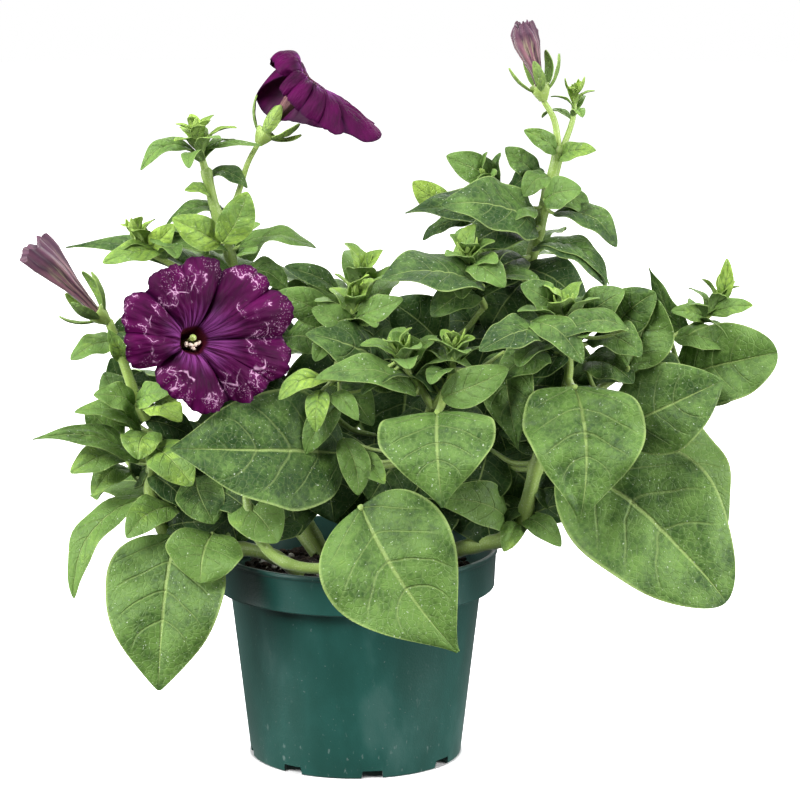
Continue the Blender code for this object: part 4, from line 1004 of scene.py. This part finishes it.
def shoot(name, route, radius, longest, width, count, first_turn, leafy, youth):
    """A side shoot: its downy stem, leaves in a spiral that closes on the tip, and a bud of tiny ones."""
    skin = Skin()
    path = smooth_route(route, 8)
    tube = add_tube(skin, path * MM, np.linspace(radius, radius * 0.6, len(path)), 0.75, sides=10)
    run = np.concatenate([[0], np.cumsum(np.linalg.norm(np.diff(path, axis=0), axis=1))])
    add_down(skin, tube, int(run[-1] * 2), 0.9)
    direction = unit(path[-1] - path[-5])
    for i in range(count):
        share = i / count
        back = run[-1] - leafy * (1 - share) - 0.5
        foot = np.array([np.interp(back, run, path[:, k]) for k in range(3)])
        whorl_blade(
            skin, foot, direction, first_turn + GOLDEN_ANGLE * i + rng.uniform(-12, 12),
            84 - 60 * share + rng.uniform(-7, 7), longest * (1 - 0.55 * share) * rng.uniform(0.9, 1.1),
            width * (1 - 0.35 * share), 0.14 + 0.08 * (1 - share), youth - 0.62 * (1 - share),
            steps=(20, 10), pucker=0.45, ruffle=0.09, fold=0.34, bend=rng.uniform(-0.10, 0.10),
            twist=rng.uniform(-0.35, 0.35), base=0.98, point=0.55,
        )
    for i in range(5):
        whorl_blade(
            skin, path[-1] - direction * 0.5, direction, GOLDEN_ANGLE * i, 16 + 4 * i,
            4.5 + 1.1 * i, 2.4 + 0.3 * i, -0.16, youth + 0.15, steps=(10, 6), pucker=0.1, ruffle=0.02,
            fold=0.5, thickness=0.5, base=0.9, point=0.6,
        )
    return skin.piece(name, PLANT_SKINS, name)


def calyx(name, foot, axis, sepals):
    """The downy green cup under a flower, a cone that parts into five spoon-shaped sepals."""
    skin = Skin()
    axis, foot = unit(axis), np.array(foot)
    heights = np.array([0, 0.8, 2.0, 3.6, 5.2, 6.4])
    radii = np.array([1.6, 2.0, 2.7, 3.4, 3.9, 3.8])
    sides = 20
    ribbed = 1 + 0.07 * np.cos(5 * np.arange(sides) * FULL_TURN / sides)
    section = ribbed[None, :] * np.ones((len(heights), 1))
    path = (foot + axis * heights[:, None]) * MM
    cup = add_tube(skin, path, radii, 1.0, sides=sides, section=section, round_tip=False)
    add_down(skin, cup, 60, 0.9)
    for turn, lean, length, width in sepals:
        rim = foot + axis * 4.2 + turned_aside(axis, turn) * 2.9
        whorl_blade(
            skin, rim, axis, turn, lean, length, width, -0.12, 0.70 + rng.uniform(-0.1, 0.1), steps=(20, 8),
            fold=0.30, cup=0.05, thickness=0.8, base=1.0, point=0.5, pucker=0.15, ruffle=0.04,
            bend=rng.uniform(-0.06, 0.06),
        )
    return skin.piece(name, PLANT_SKINS, name)


# ---------------------------------------------------------------- flowers
def limb_curve(length, rise, fall, share):
    """How far out and how high the limb is at a share of its length, bending from funnel to lobe."""
    steps = 14
    out, height = 0.0, 0.0
    for i in range(steps):
        at = share * (i + 0.5) / steps
        slope = rise * (1 - at) ** 2.2 - fall * at**1.3
        out = out + np.cos(slope) * length * share / steps
        height = height + np.sin(slope) * length * share / steps
    return out, height


def round_flower(at, values):
    """A value at a place round a flower, blended between those of the whole places on either side."""
    values = np.array(values, float)
    at = at % len(values)
    low = at.astype(int) % len(values)
    blend = (1 - np.cos(np.pi * (at - np.floor(at)))) / 2
    return values[low] * (1 - blend) + values[(low + 1) % len(values)] * blend


def corolla(name, foot, axis, tube_length, seams, reaches, cuts, rises, falls, crinkled):
    """An open flower's joined petals: tube, funnel and five notched lobes with folded seams."""
    rows, columns = 56, 280
    direction = unit(axis)
    first, second = frame_along(direction)
    u = np.linspace(0, 1, rows)[:, None] * np.ones((1, columns))
    v = np.linspace(0, 1, columns, endpoint=False)[None, :] * np.ones((rows, 1))
    round_it = FULL_TURN * v
    to_seam = np.abs(5 * v - np.round(5 * v))
    to_middle = 0.5 - to_seam
    share = np.clip((u - TUBE_SHARE) / (1 - TUBE_SHARE), 0, 1)
    cut = np.array(cuts)[np.round(5 * v).astype(int) % 5]
    edge = 1 - cut * np.exp(-((to_seam / 0.10) ** 2)) - 0.06 * np.exp(-((to_middle / 0.06) ** 2))
    edge = edge + crinkled * (
        0.012 * np.sin(31 * round_it) + 0.014 * np.sin(FULL_TURN * (13 * v + 0.3))
        + 0.008 * np.sin(83 * round_it)
    )
    length = round_flower(10 * v - 0.5, reaches) * edge - THROAT_RADIUS
    rise, fall = (round_flower(5 * v - 0.5, values) for values in (rises, falls))
    out, height = limb_curve(length, rise, fall, share)
    down_tube = np.minimum(u / TUBE_SHARE, 1)
    tube_out = STALK_END_RADIUS + (THROAT_RADIUS - STALK_END_RADIUS) * down_tube**1.6
    fluting = 1 + 0.05 * np.cos(5 * round_it) * down_tube
    out = np.where(u < TUBE_SHARE, tube_out * fluting, out + THROAT_RADIUS * fluting)
    height = height + tube_length * down_tube
    dome = (1.2 + crinkled * 1.6) * (np.sin(np.pi * np.minimum(to_seam * 2.4, 1) / 2) - 0.6) * share**1.2
    seam = np.exp(-((to_seam / 0.045) ** 2)) * np.sin(np.pi * np.minimum(share * 1.1, 1)) ** 0.7
    seam = -(1.2 + crinkled * 1.3) * seam
    crease = -0.6 * np.exp(-((to_middle / 0.025) ** 2)) * share
    bumps = 0.7 * np.sin(FULL_TURN * (9 * v + 0.2) + share * 7) * np.sin(np.pi * share) ** 2
    crinkle = crinkled * share**9 * (
        1.3 * np.sin(FULL_TURN * (17 * v + 0.1) + share * 3) + np.sin(29 * round_it + share * 9)
        + 0.8 * np.sin(53 * round_it + 2)
    )
    wrinkle = 0.16 * np.sin(45 * round_it + 3 * np.sin(share * 9)) * np.sin(np.pi * share)
    height = height + dome + seam + crease + bumps + crinkle + wrinkle
    angle = np.radians(np.interp(5 * v, range(6), [*seams, seams[0] + 360]))
    ring = first * np.cos(angle)[..., None] + second * np.sin(angle)[..., None]
    grid = (np.array(foot) + ring * out[..., None] + direction * height[..., None]) * MM
    skin = Skin()
    add_sheet(skin, grid, PETAL_THICKNESS, u, v, 0.5, wrap=True, finishes=(1, 0))
    return skin.piece(name, [PETAL_FACES[name], PETAL_BACK], name)


def pistil(name, foot, axis):
    """The front flower's style and stigma, and the anthers clustered under it."""
    skin = Skin()
    direction, foot = unit(axis), np.array(foot)
    heights = np.array([1.5, 8, 14, 19, 21.0, 22.4, 23.2, 23.8])
    radii = [0.6, 0.6, 0.65, 0.7, 0.8, 1.25, 1.35, 0.9]
    lift = turned_aside(direction, 270) * np.linspace(0, 1.4, len(heights))[:, None]
    add_tube(skin, (foot + direction * heights[:, None] + lift) * MM, radii, 0.0, finish=0, sides=16)
    for i in range(5):
        turn = 22 + 34 * i
        out = turned_aside(direction, turn)
        head = foot + direction * (21.6 + 0.7 * (i % 2)) + out * (2.7 - 0.9 * (i % 2))
        route = smooth_route([foot + direction * 8 + out * 1.2, foot + direction * 16 + out * 2.0, head], 4)
        add_tube(skin, route * MM, np.full(len(route), 0.35), 0.3, finish=0, sides=8)
        across = turned_aside(direction, turn + 60 + 40 * (i % 2))
        lobe = np.array([head + across * t + direction * 0.3 for t in (-0.9, -0.45, 0, 0.45, 0.9)])
        add_tube(skin, lobe * MM, [0.4, 0.75, 0.62, 0.75, 0.4], 1.0, finish=0, sides=12)
    return skin.piece(name, [pollen_skin()], name)


def furled_flower(name, route, sizes):
    """A closed flower: five pleats wound round each other, ending in a ragged mouth."""
    skin = Skin()
    path = smooth_route(route, 7)
    sides = 60
    rows = len(path)
    t = np.linspace(0, 1, rows)[:, None]
    turns = np.linspace(0, FULL_TURN, sides, endpoint=False)[None, :]
    pleat = np.cos(5 * turns + 2.2 * t) * 0.16 * t**0.6 + np.cos(10 * turns + 5 * t) * 0.07 * t
    crumple = 0.05 * np.sin(3 * turns + 11 * t) * t
    radii = np.interp(np.linspace(0, len(sizes) - 1, rows), range(len(sizes)), sizes)
    section = 1 + pleat + crumple
    firsts, seconds = rings_along(path)
    ring = firsts[:, None] * np.cos(turns)[..., None] + seconds[:, None] * np.sin(turns)[..., None]
    ragged = (np.abs(np.sin(2.5 * turns + 0.6)) * 2.6 + np.abs(np.sin(6.5 * turns)) * 0.9 - 1.4) * t**8
    ahead = unit(np.gradient(path, axis=0))
    outward = ring * (radii[:, None] * section)[..., None]
    points = path[:, None] + outward + ahead[:, None] * ragged[..., None]
    mouth = np.stack([
        path[-1] + outward[-1] * k + ahead[-1] * (ragged[-1] * k - drop)[:, None]
        for k, drop in ((0.72, 0.6), (0.4, 2.2), (0.12, 3.2))
    ])
    points = np.concatenate([points, mouth]) * MM
    along = np.concatenate([np.repeat(t, sides, axis=1), np.ones((3, sides))])
    across = np.repeat(turns / FULL_TURN, rows + 3, axis=0)
    faces = grid_faces(rows + 3, sides, wrap=True)
    faces.append(tuple(reversed(range(sides))))
    faces.append(tuple(range((rows + 2) * sides, (rows + 3) * sides)))
    skin.add(points, along, across, 0.5, faces, 0)
    return skin.piece(name, [WILTED_PETAL], name, sharp=70)


# ---------------------------------------------------------------- pot and soil, in millimetres
POT_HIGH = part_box("pot")[1]
POT_HEIGHT = POT_HIGH.z / MM
RIM_RADIUS = POT_HIGH.x / MM
RIM_BAND_HEIGHT = 15.0
RIM_STEP = 6.5
BASE_RADIUS = 42.5
WALL = 1.4
CENTRE_PAD_RADIUS = 30.0
CHANNEL_HEIGHT = 3.6
SLOT_COUNT = 8
SLOT_WIDTH = 9.0
SLOT_HEIGHT = 3.2
SLOT_TAPER = 0.5
FIRST_SLOT_ANGLE = -125.5  # degrees
POT_SIDES = 180
POT_SHARP = 38  # degrees, over which an edge of the pot stays crisp
SOIL_SIDES = 150
CRUMBS = 620
PERLITE_EVERY = 9  # crumbs


def wall_radius(height):
    """Radius of the pot's outer wall at a height."""
    return BASE_RADIUS + (RIM_RADIUS - RIM_STEP - BASE_RADIUS) * height / (POT_HEIGHT - RIM_BAND_HEIGHT)


def turned(profile, sides):
    """The rings of a body turned about Z from (radius, height) points, as (points, faces)."""
    profile = np.array(profile, float)
    turns = np.linspace(0, FULL_TURN, sides, endpoint=False)
    rings = np.stack([
        profile[:, :1] * np.cos(turns), profile[:, :1] * np.sin(turns), profile[:, 1:] * np.ones(sides),
    ], axis=-1)
    return rings * MM, grid_faces(len(profile), sides, wrap=True)


def rounded(corners, size, steps=4):
    """A profile with each inner corner rounded off by a short curve."""
    corners = [np.array(c, float) for c in corners]
    path = [corners[0]]
    for before, corner, after in zip(corners, corners[1:], corners[2:]):
        reach = min(size, np.linalg.norm(before - corner) / 2.2, np.linalg.norm(after - corner) / 2.2)
        a = corner + unit(before - corner) * reach
        c = corner + unit(after - corner) * reach
        for t in np.linspace(0, 1, steps):
            path.append(a * (1 - t) ** 2 + corner * 2 * t * (1 - t) + c * t**2)
    return [*path, corners[-1]]


def pot():
    """The nursery pot: foot ring with slots, raised channel, tapered wall and a deep rim band."""
    band = POT_HEIGHT - RIM_BAND_HEIGHT
    neck = wall_radius(band)
    floor = CHANNEL_HEIGHT + WALL
    corners = [
        (0.01, 0.0), (CENTRE_PAD_RADIUS, 0), (CENTRE_PAD_RADIUS + 1, CHANNEL_HEIGHT),
        (BASE_RADIUS - 2.2, CHANNEL_HEIGHT), (BASE_RADIUS - 1.8, 0), (BASE_RADIUS, 0),
        (wall_radius(12), 12), (wall_radius(40), 40), (neck, band), (RIM_RADIUS - 2.4, band - 0.7),
        (RIM_RADIUS - 1.2, band - 0.7), (RIM_RADIUS - 1.2, band + 0.8), (RIM_RADIUS - 0.55, POT_HEIGHT - 2.2),
        (RIM_RADIUS, POT_HEIGHT - 1.6), (RIM_RADIUS, POT_HEIGHT), (RIM_RADIUS - 1.9, POT_HEIGHT),
        (RIM_RADIUS - 2.8, band + 2), (neck - WALL, band - 1), (wall_radius(floor) - WALL - 0.5, floor + 1),
        (wall_radius(floor) - WALL - 1.5, floor), (CENTRE_PAD_RADIUS, floor), (CENTRE_PAD_RADIUS - 1, WALL),
        (0.01, WALL),
    ]
    profile = rounded(corners, 0.7)
    rings, faces = turned(profile, POT_SIDES)
    turns = np.linspace(0, FULL_TURN, POT_SIDES, endpoint=False)
    sag = 1 + 0.0016 * np.cos(2 * turns + 0.7)[None, :, None] * (rings[..., 2:] / (POT_HEIGHT * MM))
    rings = rings * np.concatenate([sag, sag, np.ones_like(sag)], axis=-1)
    last = (len(profile) - 1) * POT_SIDES
    faces.append(tuple(reversed(range(POT_SIDES))))
    faces.append(tuple(range(last, last + POT_SIDES)))
    skin = Skin()
    skin.add(rings, 0.5, 0.5, 0.5, faces, 0)
    body = skin.piece("nursery_pot", [pot_plastic()], "pot", sharp=POT_SHARP)
    for i in range(SLOT_COUNT):
        cut_slot(body, math.radians(FIRST_SLOT_ANGLE + 360 / SLOT_COUNT * i))
    graph = bpy.context.evaluated_depsgraph_get()
    mesh = bpy.data.meshes.new_from_object(body.evaluated_get(graph))
    cutters = [m.object for m in body.modifiers]
    body.modifiers.clear()
    for cutter in cutters:
        bpy.data.objects.remove(cutter)
    body.data = mesh
    mesh.set_sharp_from_angle(angle=math.radians(POT_SHARP))
    return body


def cut_slot(body, turn):
    """A slot through the foot ring, a little wider at its foot."""
    block = bpy.data.meshes.new("slot")
    foot, head = (SLOT_WIDTH / 2, -1.0), (SLOT_WIDTH / 2 - SLOT_TAPER, SLOT_HEIGHT)
    around = []
    for out in (BASE_RADIUS - 5, BASE_RADIUS + 4):
        for side, (half, height) in ((-1, foot), (1, foot), (1, head), (-1, head)):
            x = out * math.cos(turn) - side * half * math.sin(turn)
            y = out * math.sin(turn) + side * half * math.cos(turn)
            around.append((x, y, height))
    faces = [(3, 2, 1, 0), (4, 5, 6, 7), (0, 1, 5, 4), (1, 2, 6, 5), (2, 3, 7, 6), (3, 0, 4, 7)]
    block.from_pydata([tuple(c * MM for c in p) for p in around], [], faces)
    cutter = bpy.data.objects.new("slot", block)
    bpy.context.scene.collection.objects.link(cutter)
    cutter.hide_render = True
    cut = body.modifiers.new("slot", "BOOLEAN")
    cut.operation = "DIFFERENCE"
    cut.solver = "EXACT"
    cut.object = cutter


def lump(skin, middle, size, finish):
    """One irregular crumb."""
    turns = np.linspace(0, FULL_TURN, 7, endpoint=False)
    rings = []
    for lift, wide in ((-0.6, 0.7), (0.1, 1.0), (0.7, 0.6)):
        spread = wide * rng.uniform(0.7, 1.25, 7)
        level = lift * rng.uniform(0.8, 1.2, 7)
        rings.append(np.stack([np.cos(turns) * spread, np.sin(turns) * spread, level], axis=1))
    squash = np.array([1, rng.uniform(0.6, 1), 0.8])
    points = np.concatenate([*rings, [(0, 0, -0.9)], [(0, 0, 0.95)]]) * size * squash
    faces = grid_faces(3, 7, wrap=True)
    faces += [(21, (j + 1) % 7, j) for j in range(7)]
    faces += [(22, 14 + j, 14 + (j + 1) % 7) for j in range(7)]
    skin.add((points + middle) * MM, 0.5, 0.5, 0.5, faces, finish)


def soil():
    """The potting mix: a lumpy top with loose crumbs and grains of perlite."""
    low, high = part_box("soil")
    foot, top, edge = low.z / MM, high.z / MM, high.x / MM
    shares = np.linspace(1, 0.01, 46)
    profile = [(0.01, foot), (wall_radius(foot) - WALL - 3.5, foot), (edge, top - 8)]
    profile += [(edge * share, top - 2 * share**2) for share in shares]
    rings, faces = turned(profile, SOIL_SIDES)
    flat = rings[3:].reshape(-1, 3)
    lift = 0
    for size, tall in ((17, 0.8), (7, 0.7), (3, 0.5)):
        for _ in range(4):
            a, b = rng.uniform(-1, 1, 2) * FULL_TURN / size / MM
            lift = lift + tall / 2 * MM * np.sin(flat[:, 0] * a + flat[:, 1] * b + rng.uniform(0, 6))
    flat[:, 2] += lift - 0.8 * MM
    rings[3:] = flat.reshape(rings[3:].shape)
    last = (len(profile) - 1) * SOIL_SIDES
    faces.append(tuple(reversed(range(SOIL_SIDES))))
    faces.append(tuple(range(last, last + SOIL_SIDES)))
    skin = Skin()
    skin.add(rings, 0.5, 0.5, 0.5, faces, 0)
    for i in range(CRUMBS):
        turn, out = rng.uniform(0, FULL_TURN), edge * 0.97 * math.sqrt(rng.uniform())
        size = rng.uniform(0.5, 1.9)
        middle = np.array([out * math.cos(turn), out * math.sin(turn), top - 1.4 + rng.uniform(-0.4, 0.9)])
        lump(skin, middle, size, 1 if i % PERLITE_EVERY == 0 else 0)
    return skin.piece("potting_mix", [peat_skin(), perlite_skin()], "soil")


# ---------------------------------------------------------------- stage
SHADE_LIGHT = 0.11  # how brightly the white surround lights the plant, where 1 is how it looks behind it
FLOOR_RADIUS, FLOOR_SIDES = 3.0, 96
FLOOR_GLOW = 0.78  # how brightly the floor shines, which keeps it as white as the surround
# A soft lamp: name, place, target, width and height, power. Metres and watts.
LAMPS = [
    ("key", (-0.75, -1.0, 1.15), (0, 0, 0.13), (0.7, 0.7), 33),
    ("right_strip", (1.15, -0.45, 0.30), (0, 0, 0.08), (0.8, 1.0), 32),
    ("left_strip", (-1.15, -0.35, 0.28), (0, 0, 0.08), (0.7, 1.0), 24),
    ("top", (0.1, 0.0, 1.5), (0, 0, 0.1), (0.9, 0.9), 17),
    ("back", (0.3, 1.2, 0.9), (0, 0, 0.15), (1.2, 0.9), 14),
]
CAMERA_PLACE = (0.0179, -1.3947, 0.4105)  # metres
CAMERA_TILT = 79.2  # degrees up from straight down
LENS, SENSOR_WIDTH = 160, 36  # millimetres


def softbox(name, place, target, size, power):
    """A white rectangular lamp that faces a target."""
    light = bpy.data.lights.new(name, "AREA")
    light.shape = "RECTANGLE"
    light.size, light.size_y = size
    light.energy = power
    lamp = bpy.data.objects.new(name, light)
    bpy.context.scene.collection.objects.link(lamp)
    lamp.location = place
    x, y, z = np.array(target) - np.array(place)
    lamp.rotation_euler = (math.atan2(math.hypot(x, y), -z), 0.0, math.atan2(y, x) - math.pi / 2)


def surround():
    """The white surround, which the camera sees brighter than it lights the plant."""
    world = bpy.data.worlds.new("surround")
    bpy.context.scene.world = world
    world.use_nodes = True
    tree = world.node_tree
    tree.nodes["Background"].inputs["Color"].default_value = (1, 1, 1, 1)
    path = tree.nodes.new("ShaderNodeLightPath")
    strength = tree.nodes.new("ShaderNodeMapRange")
    strength.inputs["To Min"].default_value = SHADE_LIGHT
    strength.inputs["To Max"].default_value = 1.0
    tree.links.new(path.outputs["Is Camera Ray"], strength.inputs["Value"])
    tree.links.new(strength.outputs[0], tree.nodes["Background"].inputs["Strength"])


def white_floor():
    """A round white floor that fades into the surround."""
    mesh = bpy.data.meshes.new("floor")
    turns = np.linspace(0, FULL_TURN, FLOOR_SIDES, endpoint=False)
    corners = [(FLOOR_RADIUS * math.cos(turn), FLOOR_RADIUS * math.sin(turn), 0.0) for turn in turns]
    mesh.from_pydata(corners, [], [tuple(range(FLOOR_SIDES))])
    floor = bpy.data.objects.new("floor", mesh)
    bpy.context.scene.collection.objects.link(floor)
    b = Board("white_floor")
    tint = b.mix(b.noise(b.place(), 0.4), (0.80, 0.80, 0.80), (0.82, 0.82, 0.82))
    beyond = b.node("VectorMath", {"operation": "LENGTH"}, {0: b.place()}, out="Value")
    lit = beyond.between(BASE_RADIUS * MM, (BASE_RADIUS + 1.5) * MM)
    mesh.materials.append(b.finish({
        "Base Color": tint, "Roughness": 0.9,
        "Emission Color": b.mix(lit, (0, 0, 0), (1, 1, 1)) * (beyond.between(0.15, 1.2) * 0.25 + 1),
        "Emission Strength": FLOOR_GLOW,
    }))
    floor.visible_diffuse = False
    floor.visible_glossy = False


def camera_in_front():
    """The camera, a little above the plant and tilted down to it."""
    camera_data = bpy.data.cameras.new("camera")
    camera_data.lens = LENS
    camera_data.sensor_width = SENSOR_WIDTH
    camera = bpy.data.objects.new("camera", camera_data)
    bpy.context.scene.collection.objects.link(camera)
    camera.location = CAMERA_PLACE
    camera.rotation_euler = (math.radians(CAMERA_TILT), 0, 0)
    bpy.context.scene.camera = camera
    bpy.context.scene.view_settings.view_transform = "Standard"


# ---------------------------------------------------------------- the whole
surround()
white_floor()
for lamp in LAMPS:
    softbox(*lamp)
camera_in_front()
pot()
soil()
for spec in STEMS:
    stem(*spec)
for spec in LEAVES:
    large_leaf(*spec)
for group, leaves in SMALL_LEAVES.items():
    small_leaves(group, leaves)
inner_leaves()
for spec in SHOOTS:
    shoot(*spec)
for spec in CALYCES:
    calyx(*spec)
for spec in FLOWERS:
    corolla(*spec)
pistil("pistil_flower_front", *FLOWERS[0][1:3])
for spec in CLOSED_FLOWERS:
    furled_flower(*spec)
